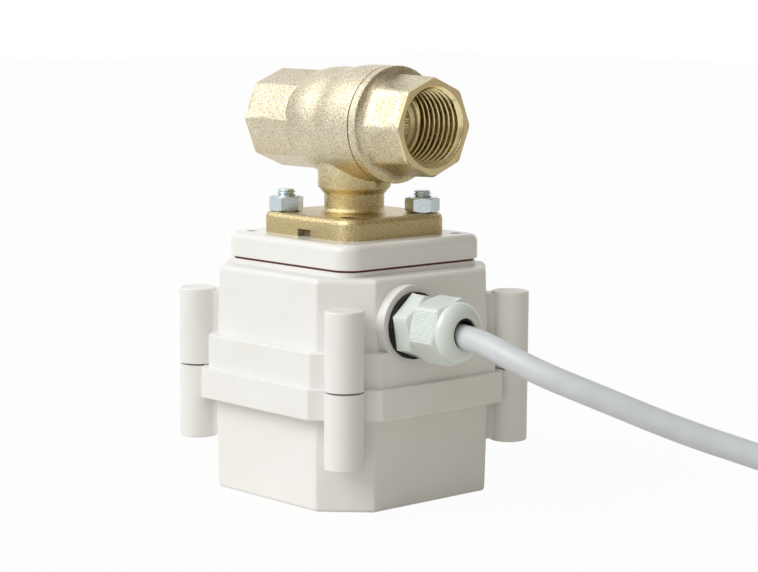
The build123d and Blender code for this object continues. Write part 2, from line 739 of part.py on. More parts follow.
# Valve body: cast in one piece with the square flange, the bonnet and the left port.
seat_pocket_r = seat_outer_r + fit_gap
chamber_r = ball_r + ball_clearance
socket_r = spigot_r + fit_gap
collar_bore_r = stem_collar_r + stem_bore_gap
stem_bore_r = stem_r + stem_bore_gap
thrust_z = stem_collar_z - thrust_thick
mouth_depth = port_mouth_r - port_bore_r
with BuildPart() as valve_body:
    with BuildSketch(Plane.XY.offset(flange_z)):
        RectangleRounded(2 * flange_half, 2 * flange_half, flange_round)
    extrude(amount=flange_thick)
    fillet(valve_body.faces().sort_by(Axis.Z)[-1].edges(), flange_edge_round)
    with BuildSketch(Plane.XZ):
        with BuildLine():
            foot = (neck_r + foot_fillet, flange_top_z)
            throat = (neck_r, flange_top_z + foot_fillet)
            RadiusArc(foot, throat, foot_fillet)
            Polyline(
                throat,
                (neck_r, flange_top_z + neck_height),
                (bonnet_r, flange_top_z + neck_height + bonnet_step),
                (bonnet_r, port_z - chamber_r / 2),
                (0, port_z - chamber_r / 2),
                (0, flange_z),
                (foot[0], flange_z),
                foot,
            )
        make_face()
    revolve(axis=Axis.Z)
    with BuildSketch(Plane.XZ):
        with BuildLine():
            Spline(*[(x, port_z + r) for x, r in body_outline])
            Polyline(
                (body_outline[-1][0], port_z + body_outline[-1][1]),
                (seam_x, port_z),
                (body_outline[0][0], port_z),
                (body_outline[0][0], port_z + body_outline[0][1]),
            )
        make_face()
    revolve(axis=pipe_axis)
    with BuildSketch(Plane.YZ.offset(left_end_x)):
        with Locations((0, port_z)):
            RegularPolygon(port_circle_r, 8)
    extrude(amount=body_outline[1][0] - left_end_x)
    with BuildSketch(Plane.XZ):
        with BuildLine():
            Polyline(
                (left_end_x, port_z + port_circle_r - port_bevel),
                (left_end_x, port_z + port_circle_r + port_bevel),
                (left_end_x + 2 * port_bevel, port_z + port_circle_r + port_bevel),
                close=True,
            )
        make_face()
    revolve(axis=pipe_axis, mode=Mode.SUBTRACT)
    with BuildSketch(Plane.XZ):
        Polygon(
            (left_end_x, port_z),
            (left_end_x, port_z + port_mouth_r),
            (left_end_x + mouth_depth, port_z + port_bore_r),
            (left_thread_end_x, port_z + port_bore_r),
            (left_thread_end_x + port_step, port_z + waterway_r),
            (-seat_back_x - fit_gap, port_z + waterway_r),
            (-seat_back_x - fit_gap, port_z + seat_pocket_r),
            (-seat_front_x + ball_clearance, port_z + seat_pocket_r),
            (-seat_front_x + ball_clearance, port_z + chamber_r),
            (spigot_x, port_z + chamber_r),
            (spigot_x, port_z + socket_r),
            (seam_x, port_z + socket_r),
            (seam_x, port_z),
            align=None,
        )
    revolve(axis=pipe_axis, mode=Mode.SUBTRACT)
    with BuildSketch(Plane.XZ):
        Polygon(
            (0, flange_z),
            (stem_bore_r, flange_z),
            (stem_bore_r, thrust_z),
            (collar_bore_r, thrust_z),
            (collar_bore_r, port_z - chamber_r + collar_bore_past),
            (0, port_z - chamber_r + collar_bore_past),
            align=None,
        )
    revolve(axis=Axis.Z, mode=Mode.SUBTRACT)
    with Locations(Plane.XY.offset(flange_top_z)):
        with PolarLocations(bolt_circle_d / 2, 4, 45):
            Hole(flange_hole_r, flange_thick)
    with BuildSketch(Plane.XY.offset(flange_z)):
        with Locations((notch_centre_x, -flange_half)):
            Rectangle(notch_width, 2 * notch_depth)
    extrude(amount=notch_height, mode=Mode.SUBTRACT)

valve_body.part.label = "valve_body"
export_step(valve_body.part, "parts/valve_body.step")

# End connector: spigot in the body, ring against the seam, octagon and threaded port.
with BuildPart() as end_connector:
    with BuildSketch(Plane.XZ):
        Polygon(
            (spigot_x + fit_gap, port_z),
            (spigot_x + fit_gap, port_z + spigot_r),
            (seal_groove_x - seal_groove_half, port_z + spigot_r),
            (seal_groove_x - seal_groove_half, port_z + seal_groove_r),
            (seal_groove_x + seal_groove_half, port_z + seal_groove_r),
            (seal_groove_x + seal_groove_half, port_z + spigot_r),
            (seam_x + fit_gap, port_z + spigot_r),
            (seam_x + fit_gap, port_z + ring_r - ring_bevel),
            (seam_x + fit_gap + ring_bevel, port_z + ring_r),
            (ring_x - ring_bevel, port_z + ring_r),
            (ring_x, port_z + ring_r - ring_bevel),
            (ring_x, port_z),
            align=None,
        )
    revolve(axis=pipe_axis)
    with BuildSketch(Plane.YZ.offset(ring_x)):
        with Locations((0, port_z)):
            RegularPolygon(port_circle_r, 8)
    extrude(amount=right_end_x - ring_x, taper=port_draft)
    with BuildSketch(Plane.XZ):
        with BuildLine():
            Polyline(
                (right_end_x, port_z + right_port_end_r - port_bevel),
                (right_end_x, port_z + right_port_end_r + port_bevel),
                (right_end_x - 2 * port_bevel, port_z + right_port_end_r + port_bevel),
                close=True,
            )
        make_face()
    revolve(axis=pipe_axis, mode=Mode.SUBTRACT)
    with BuildSketch(Plane.XZ):
        Polygon(
            (right_end_x, port_z),
            (right_end_x, port_z + port_mouth_r),
            (right_end_x - mouth_depth, port_z + port_bore_r),
            (right_thread_end_x, port_z + port_bore_r),
            (right_thread_end_x - port_step, port_z + waterway_r),
            (seat_back_x + fit_gap, port_z + waterway_r),
            (seat_back_x + fit_gap, port_z + seat_pocket_r),
            (spigot_x, port_z + seat_pocket_r),
            (spigot_x, port_z),
            align=None,
        )
    revolve(axis=pipe_axis, mode=Mode.SUBTRACT)

end_connector.part.label = "end_connector"
export_step(end_connector.part, "parts/end_connector.step")

with BuildPart() as connector_seal:
    with BuildSketch(Plane.XZ):
        with Locations((seal_groove_x, port_z + socket_r - seal_wire_r - fit_gap / 2)):
            Circle(seal_wire_r)
    revolve(axis=pipe_axis)

connector_seal.part.label = "connector_seal"
export_step(connector_seal.part, "parts/connector_seal.step")

# Ball: through bore along the pipe, and across its foot the slot that the stem turns.
with BuildPart() as ball:
    with Locations((0, 0, port_z)):
        Sphere(ball_r)
        Cylinder(waterway_r, 3 * ball_r, rotation=(0, 90, 0), mode=Mode.SUBTRACT)
    with BuildSketch(Plane.XY.offset(port_z - ball_r)):
        Rectangle(tongue_thick + 2 * tongue_gap, 3 * ball_r)
    extrude(amount=slot_depth, mode=Mode.SUBTRACT)

ball.part.label = "ball"
export_step(ball.part, "parts/ball.step")

# Seats: two rings cut to the ball, one each side.
seat_sphere_r = ball_r + seat_clearance
with BuildPart() as seat_rings:
    with BuildSketch(Plane.XZ):
        with Locations(((seat_front_x + seat_back_x) / 2, port_z + (seat_inner_r + seat_outer_r) / 2)):
            Rectangle(seat_back_x - seat_front_x, seat_outer_r - seat_inner_r)
        with Locations((0, port_z)):
            Circle(seat_sphere_r, mode=Mode.SUBTRACT)
    revolve(axis=pipe_axis)
    mirror(about=Plane.YZ)

seat_rings.part.label = "seat_rings"
export_step(seat_rings.part, "parts/seat_rings.step")

# Stem: tongue, collar, two seal grooves and the square that the actuator turns.
stem_groove_r = stem_bore_r - 2 * stem_seal_wire_r - fit_gap
stem_groove_half = stem_seal_wire_r + stem_groove_gap
tongue_top_z = port_z - ball_r + slot_depth - tongue_gap
with BuildPart() as stem:
    with BuildSketch(Plane.XZ):
        Polygon(
            (0, stem_foot_z),
            (stem_r, stem_foot_z),
            (stem_r, stem_collar_z),
            (stem_collar_r, stem_collar_z),
            (stem_collar_r, stem_collar_z + stem_collar_h),
            (0, stem_collar_z + stem_collar_h),
            align=None,
        )
    revolve(axis=Axis.Z)
    with BuildSketch(Plane.XY.offset(stem_collar_z + stem_collar_h)):
        Rectangle(tongue_thick, tongue_width)
    extrude(amount=tongue_top_z - stem_collar_z - stem_collar_h)
    with BuildSketch(Plane.XY.offset(stem_foot_z)):
        Circle(stem_r + stem_bore_gap)
        Rectangle(stem_square, stem_square, mode=Mode.SUBTRACT)
    extrude(amount=flange_z - stem_foot_z, mode=Mode.SUBTRACT)
    with BuildSketch(Plane.XZ):
        for groove_z in stem_seal_z:
            with Locations((stem_groove_r, groove_z)):
                Rectangle(stem_r, 2 * stem_groove_half, align=(Align.MIN, Align.CENTER))
    revolve(axis=Axis.Z, mode=Mode.SUBTRACT)

stem.part.label = "stem"
export_step(stem.part, "parts/stem.step")

with BuildPart() as stem_seals:
    with BuildSketch(Plane.XZ):
        for groove_z in stem_seal_z:
            with Locations((stem_bore_r - fit_gap / 2 - stem_seal_wire_r, groove_z)):
                Circle(stem_seal_wire_r)
    revolve(axis=Axis.Z)

stem_seals.part.label = "stem_seals"
export_step(stem_seals.part, "parts/stem_seals.step")

with BuildPart() as thrust_washer:
    with BuildSketch(Plane.XY.offset(thrust_z)):
        Circle(stem_collar_r)
        Circle(stem_bore_r, mode=Mode.SUBTRACT)
    extrude(amount=thrust_thick - running_gap)

thrust_washer.part.label = "thrust_washer"
export_step(thrust_washer.part, "parts/thrust_washer.step")

# Output shaft: square socket for the stem, seat and key for the gear, and a foot for the cams.
key_floor_r = shaft_r - key_depth
with BuildPart() as output_shaft:
    with BuildSketch(Plane.XZ):
        Polygon(
            (0, shaft_foot_z),
            (shaft_low_r, shaft_foot_z),
            (shaft_low_r, gear_plate_top_z + running_gap),
            (shaft_mid_r, gear_plate_top_z + running_gap),
            (shaft_mid_r, output_gear_z - collar_thick),
            (collar_r, output_gear_z - collar_thick),
            (collar_r, output_gear_z),
            (shaft_r, output_gear_z),
            (shaft_r, shaft_top_z),
            (0, shaft_top_z),
            align=None,
        )
    revolve(axis=Axis.Z)
    with BuildSketch(Plane.XY.offset(socket_floor_z)):
        Rectangle(stem_square + 2 * socket_gap, stem_square + 2 * socket_gap)
    extrude(amount=shaft_top_z - socket_floor_z, mode=Mode.SUBTRACT)
    with BuildSketch(Plane.XY.offset(output_gear_z)):
        with Locations((key_floor_r, 0)):
            Rectangle(shaft_r, key_width, align=(Align.MIN, Align.CENTER))
    extrude(amount=output_gear_thick, mode=Mode.SUBTRACT)
    with BuildSketch(Plane.XY.offset(shaft_foot_z)):
        with Locations((d_flat, 0)):
            Rectangle(shaft_low_r, 3 * shaft_low_r, align=(Align.MIN, Align.CENTER))
    extrude(amount=gear_plate_z - running_gap - shaft_foot_z, mode=Mode.SUBTRACT)
    with Locations(Plane((0, 0, shaft_foot_z), (1, 0, 0), (0, 0, -1))):
        Hole(cam_screw_r + fit_gap, cam_screw_length + screw_tip_gap)

output_shaft.part.label = "output_shaft"
export_step(output_shaft.part, "parts/output_shaft.step")

with BuildPart() as shaft_bush:
    with BuildSketch(Plane.XY.offset(bush_foot_z)):
        Circle(bush_r)
        Circle(shaft_r + running_gap, mode=Mode.SUBTRACT)
    extrude(amount=pad_z - bush_foot_z)

shaft_bush.part.label = "shaft_bush"
export_step(shaft_bush.part, "parts/shaft_bush.step")

with BuildPart() as shaft_seal:
    with BuildSketch(Plane.XY.offset(plate_z)):
        Circle(seal_pocket_r - fit_gap)
        Circle(shaft_r + running_gap, mode=Mode.SUBTRACT)
    extrude(amount=shaft_seal_thick)

shaft_seal.part.label = "shaft_seal"
export_step(shaft_seal.part, "parts/shaft_seal.step")


def involute(angle):
    """Angle between the tooth flank and the line of its start, for a pressure angle in radians."""
    return tan(angle) - angle


def gear_outline(teeth, phase):
    """Outline of a spur gear about the origin, with the middle of its first tooth at the phase."""
    pitch_radius = gear_module * teeth / 2
    base_radius = pitch_radius * cos(radians(pressure_angle))
    root_radius = pitch_radius - 1.2 * gear_module
    tip_radius = pitch_radius + gear_module
    half_tooth = pi / teeth / 2 - backlash / 4 / pitch_radius
    start_radius = max(base_radius, root_radius)
    steps = 3
    flank = []
    for step in range(steps):
        radius = start_radius + (tip_radius - start_radius) * step / (steps - 1)
        at_radius = acos(min(1.0, base_radius / radius))
        half = half_tooth + involute(radians(pressure_angle)) - involute(at_radius)
        flank.append((radius, half))
    if root_radius < start_radius:
        flank.insert(0, (root_radius, flank[0][1]))
    points = []
    for tooth in range(teeth):
        middle = radians(phase) + 2 * pi * tooth / teeth
        points += [(r * cos(middle - half), r * sin(middle - half)) for r, half in flank]
        points += [(r * cos(middle + half), r * sin(middle + half)) for r, half in reversed(flank)]
    with BuildSketch() as outline:
        with BuildLine():
            Polyline(*points, close=True)
        make_face()
    return outline.sketch


def mesh_phase(teeth_a, phase_a, line_angle, teeth_b):
    """Phase of gear b, in degrees, that puts a gap of b on the tooth of a along the line of centres."""
    share = (line_angle - phase_a) * teeth_a / 360
    return line_angle + 180 - (0.5 - share) * 360 / teeth_b


# Gear train: motor pinion, first gear, second gear and the gear on the output shaft.
output_phase = 0.0
second_pinion_phase = mesh_phase(output_teeth, output_phase, second_axis_angle, pinion_teeth)
second_wheel_phase = 0.0
first_pinion_phase = mesh_phase(wheel_teeth, second_wheel_phase, first_axis_angle, pinion_teeth)
first_wheel_phase = 0.0
motor_pinion_phase = mesh_phase(wheel_teeth, first_wheel_phase, motor_axis_angle, pinion_teeth)
output_outline = gear_outline(output_teeth, output_phase)
with BuildPart() as output_gear:
    with BuildSketch(Plane.XY.offset(output_gear_z)):
        add(output_outline)
        Circle(shaft_r + fit_gap / 2, mode=Mode.SUBTRACT)
        Rectangle(shaft_r + key_depth, key_width, align=(Align.MIN, Align.CENTER), mode=Mode.SUBTRACT)
    extrude(amount=output_gear_thick)

output_gear.part.label = "output_gear"
export_step(output_gear.part, "parts/output_gear.step")

with BuildPart() as gear_key:
    with BuildSketch(Plane.XY.offset(output_gear_z)):
        with Locations((shaft_r, 0)):
            Rectangle(2 * key_depth - fit_gap, key_width - fit_gap)
    extrude(amount=output_gear_thick - fit_gap)

gear_key.part.label = "gear_key"
export_step(gear_key.part, "parts/gear_key.step")

wheel_outline = gear_outline(wheel_teeth, second_wheel_phase)
second_pinion_outline = gear_outline(pinion_teeth, second_pinion_phase)
with BuildPart() as second_gear:
    with BuildSketch(Plane((*second_axis, second_wheel_z))):
        add(wheel_outline)
    extrude(amount=wheel_thick)
    with BuildSketch(Plane((*second_axis, second_wheel_z + wheel_thick))):
        add(second_pinion_outline)
    extrude(amount=output_gear_z + output_gear_thick + pinion_overlap - second_wheel_z - wheel_thick)
    with BuildSketch(Plane((*second_axis, gear_plate_top_z + running_gap))):
        Circle(gear_hub_r)
    extrude(amount=pin_boss_z - gear_plate_top_z - 2 * running_gap)
    with Locations((*second_axis, pin_boss_z)):
        Hole(pin_r + running_gap)

second_gear.part.label = "second_gear"
export_step(second_gear.part, "parts/second_gear.step")

first_pinion_outline = gear_outline(pinion_teeth, first_pinion_phase)
with BuildPart() as first_gear:
    with BuildSketch(Plane((*first_axis, first_wheel_z))):
        add(wheel_outline)
    extrude(amount=wheel_thick)
    with BuildSketch(Plane((*first_axis, first_wheel_z + wheel_thick))):
        add(first_pinion_outline)
    extrude(amount=second_wheel_z + wheel_thick + pinion_overlap - first_wheel_z - wheel_thick)
    with BuildSketch(Plane((*first_axis, gear_plate_top_z + running_gap))):
        Circle(gear_hub_r)
    extrude(amount=pin_boss_z - gear_plate_top_z - 2 * running_gap)
    with Locations((*first_axis, pin_boss_z)):
        Hole(pin_r + running_gap)

first_gear.part.label = "first_gear"
export_step(first_gear.part, "parts/first_gear.step")

with BuildPart() as gear_pins:
    with BuildSketch(Plane.XY.offset(gear_plate_z)):
        with Locations(first_axis, second_axis):
            Circle(pin_r)
    extrude(amount=pin_top_z - gear_plate_z)

gear_pins.part.label = "gear_pins"
export_step(gear_pins.part, "parts/gear_pins.step")

motor_pinion_outline = gear_outline(pinion_teeth, motor_pinion_phase)
with BuildPart() as motor_pinion:
    with BuildSketch(Plane((*motor_axis, first_wheel_z - pinion_overlap))):
        add(motor_pinion_outline)
    extrude(amount=wheel_thick + 2 * pinion_overlap)
    with BuildSketch(Plane((*motor_axis, gear_plate_z - motor_shaft_depth))):
        Circle(motor_shaft_r)
    extrude(amount=first_wheel_z + wheel_thick - gear_plate_z + motor_shaft_depth)

motor_pinion.part.label = "motor_pinion"
export_step(motor_pinion.part, "parts/motor_pinion.step")

# Gear motor under the gear plate: closed can, and a closed gearhead with its bearing boss.
gearhead_z = gear_plate_z - gearhead_length
with BuildPart() as gearhead:
    with BuildSketch(Plane((*motor_axis, gearhead_z))):
        Circle(motor_r)
    extrude(amount=gearhead_length)
    with BuildSketch(Plane((*motor_axis, gear_plate_z))):
        Circle(motor_boss_r)
    extrude(amount=gear_plate_thick + motor_boss_stand_out)
    with BuildSketch(Plane((*motor_axis, gearhead_z + gearhead_groove_z))):
        Circle(motor_r)
        Circle(motor_r - motor_can_step, mode=Mode.SUBTRACT)
    extrude(amount=gearhead_groove_width, mode=Mode.SUBTRACT)
    with Locations((*motor_axis, gear_plate_top_z + motor_boss_stand_out)):
        Hole(motor_shaft_r + running_gap, gear_plate_thick + motor_shaft_depth + 2 * motor_boss_stand_out)
    with Locations(Plane((*motor_axis, gear_plate_z))):
        with PolarLocations(motor_screw_offset, 2):
            Hole(motor_screw_r + fit_gap, motor_screw_reach + fit_gap)

gearhead.part.label = "gearhead"
export_step(gearhead.part, "parts/gearhead.step")

with BuildPart() as gearmotor:
    with BuildSketch(Plane((*motor_axis, gearhead_z))):
        Circle(motor_r - motor_can_step)
    extrude(amount=-motor_length)
    fillet(gearmotor.faces().sort_by(Axis.Z)[0].edges(), motor_can_round)
    with BuildSketch(Plane((*motor_axis, gearhead_z - motor_length))):
        Circle(motor_cap_r)
        with PolarLocations(motor_tag_offset, 2, 90):
            Rectangle(*motor_tag_size)
    extrude(amount=-motor_cap_h)

gearmotor.part.label = "gearmotor"
export_step(gearmotor.part, "parts/gearmotor.step")

# Gear plate: sheet steel on the body's posts, notched where the cord's cores go down.
with BuildPart() as gear_plate:
    with BuildSketch(Plane.XY.offset(gear_plate_z)):
        add(octagon(gear_plate_half, gear_plate_leg, edge_round))
        Circle(shaft_low_r + running_gap, mode=Mode.SUBTRACT)
        with Locations(first_axis, second_axis):
            Circle(pin_r + fit_gap / 2, mode=Mode.SUBTRACT)
        with Locations(motor_axis):
            Circle(motor_boss_r + fit_gap, mode=Mode.SUBTRACT)
            with PolarLocations(motor_screw_offset, 2):
                Circle(motor_screw_r + fit_gap, mode=Mode.SUBTRACT)
        with Locations(*post_places):
            Circle(post_screw_r + fit_gap, mode=Mode.SUBTRACT)
        with Locations((switch_screw_x, 0)):
            with GridLocations(0, switch_screw_pitch, 1, 2):
                Circle(switch_screw_r + fit_gap, mode=Mode.SUBTRACT)
        for notch_x, notch_y, notch_width in (
            (core_notch_x, core_notch_y, core_notch_width),
            (nut_notch_x, gland_y, nut_notch_width),
        ):
            with Locations((notch_x, notch_y)):
                Rectangle(gear_plate_half, notch_width, align=(Align.MIN, Align.CENTER), mode=Mode.SUBTRACT)
    extrude(amount=gear_plate_thick)

gear_plate.part.label = "gear_plate"
export_step(gear_plate.part, "parts/gear_plate.step")

post_screw = screw(post_screw_head_r, post_screw_head_h, post_screw_r, post_screw_length)
with BuildPart() as gear_plate_screws:
    with Locations(*[(x, y, gear_plate_z) for x, y in post_places]):
        add(post_screw)

gear_plate_screws.part.label = "gear_plate_screws"
export_step(gear_plate_screws.part, "parts/gear_plate_screws.step")

motor_screw_length = gear_plate_thick + motor_screw_reach
motor_screw = screw(motor_screw_head_r, motor_screw_head_h, motor_screw_r, motor_screw_length)
with BuildPart() as motor_screws:
    with Locations(Plane((*motor_axis, gear_plate_top_z), (1, 0, 0), (0, 0, -1))):
        with PolarLocations(motor_screw_offset, 2):
            add(motor_screw)

motor_screws.part.label = "motor_screws"
export_step(motor_screws.part, "parts/motor_screws.step")

# Limit cams: their radius rises evenly over the quarter turn, so each lever keeps pace with
# the shaft. The levers pivot on the switches and touch the cams along the tangent.
pivot_distance = hypot(*lever_pivot)
pivot_angle = degrees(atan2(lever_pivot[1], lever_pivot[0]))


def lever_lean(radius):
    """Angle in degrees between the line to the shaft and a lever that clears this radius."""
    return degrees(asin((radius + cam_follow_gap + lever_thick / 2) / pivot_distance))


contact_angle = pivot_angle - 90 + lever_lean((cam_low_r + cam_high_r) / 2)
print("lever swing", round(lever_lean(cam_high_r) - lever_lean(cam_low_r), 3))


def cam_outline(rise_at_rest):
    """Cam about the origin: a low arc, an even rise over the quarter turn and a high arc."""
    points = []
    for step in range(cam_steps + 1):
        turned = 90.0 * step / cam_steps
        share = turned / 90 if rise_at_rest == 0 else 1 - turned / 90
        points.append(polar(cam_low_r + (cam_high_r - cam_low_r) * share, contact_angle - turned))
    before = polar(cam_low_r if rise_at_rest == 0 else cam_high_r, contact_angle + cam_dwell)
    after_r = cam_high_r if rise_at_rest == 0 else cam_low_r
    after = polar(after_r, contact_angle - 90 - cam_dwell)
    back = polar(cam_low_r, contact_angle + 180 - 45)
    with BuildSketch() as outline:
        with BuildLine():
            Polyline(before, *points, after)
            ThreePointArc(after, back, before)
        make_face()
    return outline.sketch


closed_cam = cam_outline(0)
open_cam = cam_outline(1)
with BuildPart() as limit_cams:
    for level_z, outline in zip(cam_levels_z, (closed_cam, open_cam)):
        with BuildSketch(Plane.XY.offset(level_z - cam_thick / 2)):
            add(outline)
        extrude(amount=cam_thick)
        with BuildSketch(Plane.XY.offset(level_z - cam_hub_half)):
            Circle(cam_hub_r)
        extrude(amount=2 * cam_hub_half)
        with BuildSketch(Plane.XY.offset(level_z - cam_hub_half)):
            Circle(shaft_low_r + fit_gap / 2)
            with Locations((d_flat + fit_gap / 2, 0)):
                Rectangle(shaft_low_r, 3 * shaft_low_r, align=(Align.MIN, Align.CENTER), mode=Mode.SUBTRACT)
        extrude(amount=2 * cam_hub_half, mode=Mode.SUBTRACT)

limit_cams.part.label = "limit_cams"
export_step(limit_cams.part, "parts/limit_cams.step")

cam_screw_shape = screw(cam_screw_head_r, cam_screw_head_h, cam_screw_r, cam_screw_length)
with BuildPart() as cam_screw:
    with Locations((0, 0, shaft_foot_z)):
        add(cam_screw_shape)

cam_screw.part.label = "cam_screw"
export_step(cam_screw.part, "parts/cam_screw.step")

# Limit switches, one per cam, each with its button, ears and lever pivot.
switch_back_x = switch_face_x + switch_depth
ear_offset = lever_width / 2 + switch_ear_gap + switch_ear_thick / 2
with BuildPart() as limit_switches:
    for level_z in switch_levels_z:
        with Locations(((switch_face_x + switch_back_x) / 2, 0, level_z)):
            Box(switch_depth, switch_length, switch_thick - fit_gap)
        with Locations((switch_face_x - switch_button_h / 2, 0, level_z)):
            Box(switch_button_h, *switch_button_size)
        for side in (-1, 1):
            with Locations((*lever_pivot, level_z + side * ear_offset)):
                Box(2 * (switch_face_x - lever_pivot[0]), 2 * lever_barrel_r, switch_ear_thick)
        with Locations((*lever_pivot, level_z)):
            Cylinder(lever_pin_r, 2 * ear_offset)
        for leg in (-1, 0, 1):
            with Locations((switch_back_x + switch_leg_size[0] / 2, leg * switch_leg_pitch, level_z)):
                Box(*switch_leg_size)
    with Locations(Plane.XY.offset(gear_plate_z)):
        with Locations((switch_screw_x, 0)):
            with GridLocations(0, switch_screw_pitch, 1, 2):
                Hole(switch_screw_r + fit_gap)

limit_switches.part.label = "limit_switches"
export_step(limit_switches.part, "parts/limit_switches.step")

switch_screw_foot = switch_levels_z[1] - switch_thick / 2 + fit_gap / 2
switch_screw_length = gear_plate_top_z - switch_screw_foot
switch_screw = screw(switch_screw_head_r, switch_screw_head_h, switch_screw_r, switch_screw_length)
with BuildPart() as switch_screws:
    with Locations((switch_screw_x, 0, switch_screw_foot)):
        with GridLocations(0, switch_screw_pitch, 1, 2):
            add(switch_screw)

switch_screws.part.label = "switch_screws"
export_step(switch_screws.part, "parts/switch_screws.step")


def switch_lever(level_z, radius):
    """A leaf lever that lies along the tangent of the cam at this radius."""
    along = pivot_angle + 180 + lever_lean(radius)
    with BuildPart() as lever:
        with BuildSketch(Plane((*lever_pivot, level_z - lever_width / 2), polar(1, along) + (0,), (0, 0, 1))):
            Rectangle(lever_reach, lever_thick, align=(Align.MIN, Align.CENTER))
            Circle(lever_barrel_r)
            Circle(lever_pin_r + running_gap, mode=Mode.SUBTRACT)
        extrude(amount=lever_width)
    return lever.part


closed_lever = switch_lever(switch_levels_z[0], cam_low_r)
closed_lever.label = "closed_lever"
export_step(closed_lever, "parts/closed_lever.step")

open_lever = switch_lever(switch_levels_z[1], cam_high_r)
open_lever.label = "open_lever"
export_step(open_lever, "parts/open_lever.step")

# Circuit board on the cap's posts, with the terminal block and the capacitor.
with BuildPart() as circuit_board:
    with BuildSketch(Plane.XY.offset(board_z)):
        add(octagon(board_half, board_leg, edge_round))
        with GridLocations(board_post_spacing, board_post_spacing, 2, 2):
            Circle(board_screw_r + fit_gap, mode=Mode.SUBTRACT)
    extrude(amount=board_thick)

circuit_board.part.label = "circuit_board"
export_step(circuit_board.part, "parts/circuit_board.step")

board_top_z = board_z + board_thick
board_screw_length = board_thick + board_z - wall
board_screw = screw(board_screw_head_r, board_screw_head_h, board_screw_r - fit_gap, board_screw_length)
with BuildPart() as board_screws:
    with Locations(Plane((0, 0, board_top_z), (1, 0, 0), (0, 0, -1))):
        with GridLocations(board_post_spacing, board_post_spacing, 2, 2):
            add(board_screw)

board_screws.part.label = "board_screws"
export_step(board_screws.part, "parts/board_screws.step")

terminal_top_z = board_top_z + terminal_size[2]
with BuildPart() as terminal_block:
    with Locations((terminal_x, terminal_y, board_top_z + terminal_size[2] / 2)):
        Box(*terminal_size)
    top_edges = terminal_block.edges().filter_by(Axis.Y).group_by(Axis.Z)[-1]
    chamfer(top_edges.sort_by(Axis.X)[0], terminal_chamfer)
    with Locations(Plane((terminal_x, terminal_y, terminal_top_z))):
        with GridLocations(0, core_pitch, 1, 3):
            Hole(core_r + fit_gap, core_depth)

terminal_block.part.label = "terminal_block"
export_step(terminal_block.part, "parts/terminal_block.step")

with BuildPart() as capacitor:
    with BuildSketch(Plane((*capacitor_place, board_top_z))):
        Circle(capacitor_r)
    extrude(amount=capacitor_height)
    fillet(capacitor.faces().sort_by(Axis.Z)[-1].edges(), capacitor_round)

capacitor.part.label = "capacitor"
export_step(capacitor.part, "parts/capacitor.step")

# Cable gland: rubber washer, threaded body, dome nut, sleeve round the cord and locknut.
gland_axis = Axis((0, gland_y, gland_z), (1, 0, 0))
with BuildPart() as gland_washer:
    with BuildSketch(Plane.YZ.offset(boss_face_x)):
        with Locations((gland_y, gland_z)):
            Circle(washer_r)
            Circle(gland_hole_r, mode=Mode.SUBTRACT)
    extrude(amount=washer_thick)

gland_washer.part.label = "gland_washer"
export_step(gland_washer.part, "parts/gland_washer.step")

with BuildPart() as gland_body:
    with BuildSketch(Plane.YZ.offset(washer_end_x)):
        with Locations((gland_y, gland_z)):
            RegularPolygon(gland_hex_flats / 2, 6, major_radius=False, rotation=gland_hex_turn)
    extrude(amount=gland_hex_length)
    with BuildSketch(Plane.XZ.offset(-gland_y)):
        Polygon(
            (shank_foot_x, gland_z),
            (shank_foot_x, gland_z + gland_shank_r - gland_lip),
            (shank_foot_x + gland_lip, gland_z + gland_shank_r),
            (gland_hex_end_x, gland_z + gland_shank_r),
            (gland_hex_end_x, gland_z + gland_thread_r),
            (gland_mouth_x - gland_lip, gland_z + gland_thread_r),
            (gland_mouth_x, gland_z + gland_thread_r - gland_lip),
            (gland_mouth_x, gland_z),
            align=None,
        )
    revolve(axis=gland_axis)
    with BuildSketch(Plane.XZ.offset(-gland_y)):
        Polygon(
            (shank_foot_x, gland_z),
            (shank_foot_x, gland_z + cord_r + gland_bore_gap),
            (insert_start_x, gland_z + cord_r + gland_bore_gap),
            (insert_start_x, gland_z + insert_r + fit_gap),
            (gland_mouth_x, gland_z + insert_r + fit_gap),
            (gland_mouth_x, gland_z),
            align=None,
        )
    revolve(axis=gland_axis, mode=Mode.SUBTRACT)

gland_body.part.label = "gland_body"
export_step(gland_body.part, "parts/gland_body.step")

with BuildPart() as gland_insert:
    with BuildSketch(Plane.YZ.offset(insert_start_x)):
        with Locations((gland_y, gland_z)):
            Circle(insert_r)
            Circle(cord_r + fit_gap, mode=Mode.SUBTRACT)
    extrude(amount=insert_length)

gland_insert.part.label = "gland_insert"
export_step(gland_insert.part, "parts/gland_insert.step")

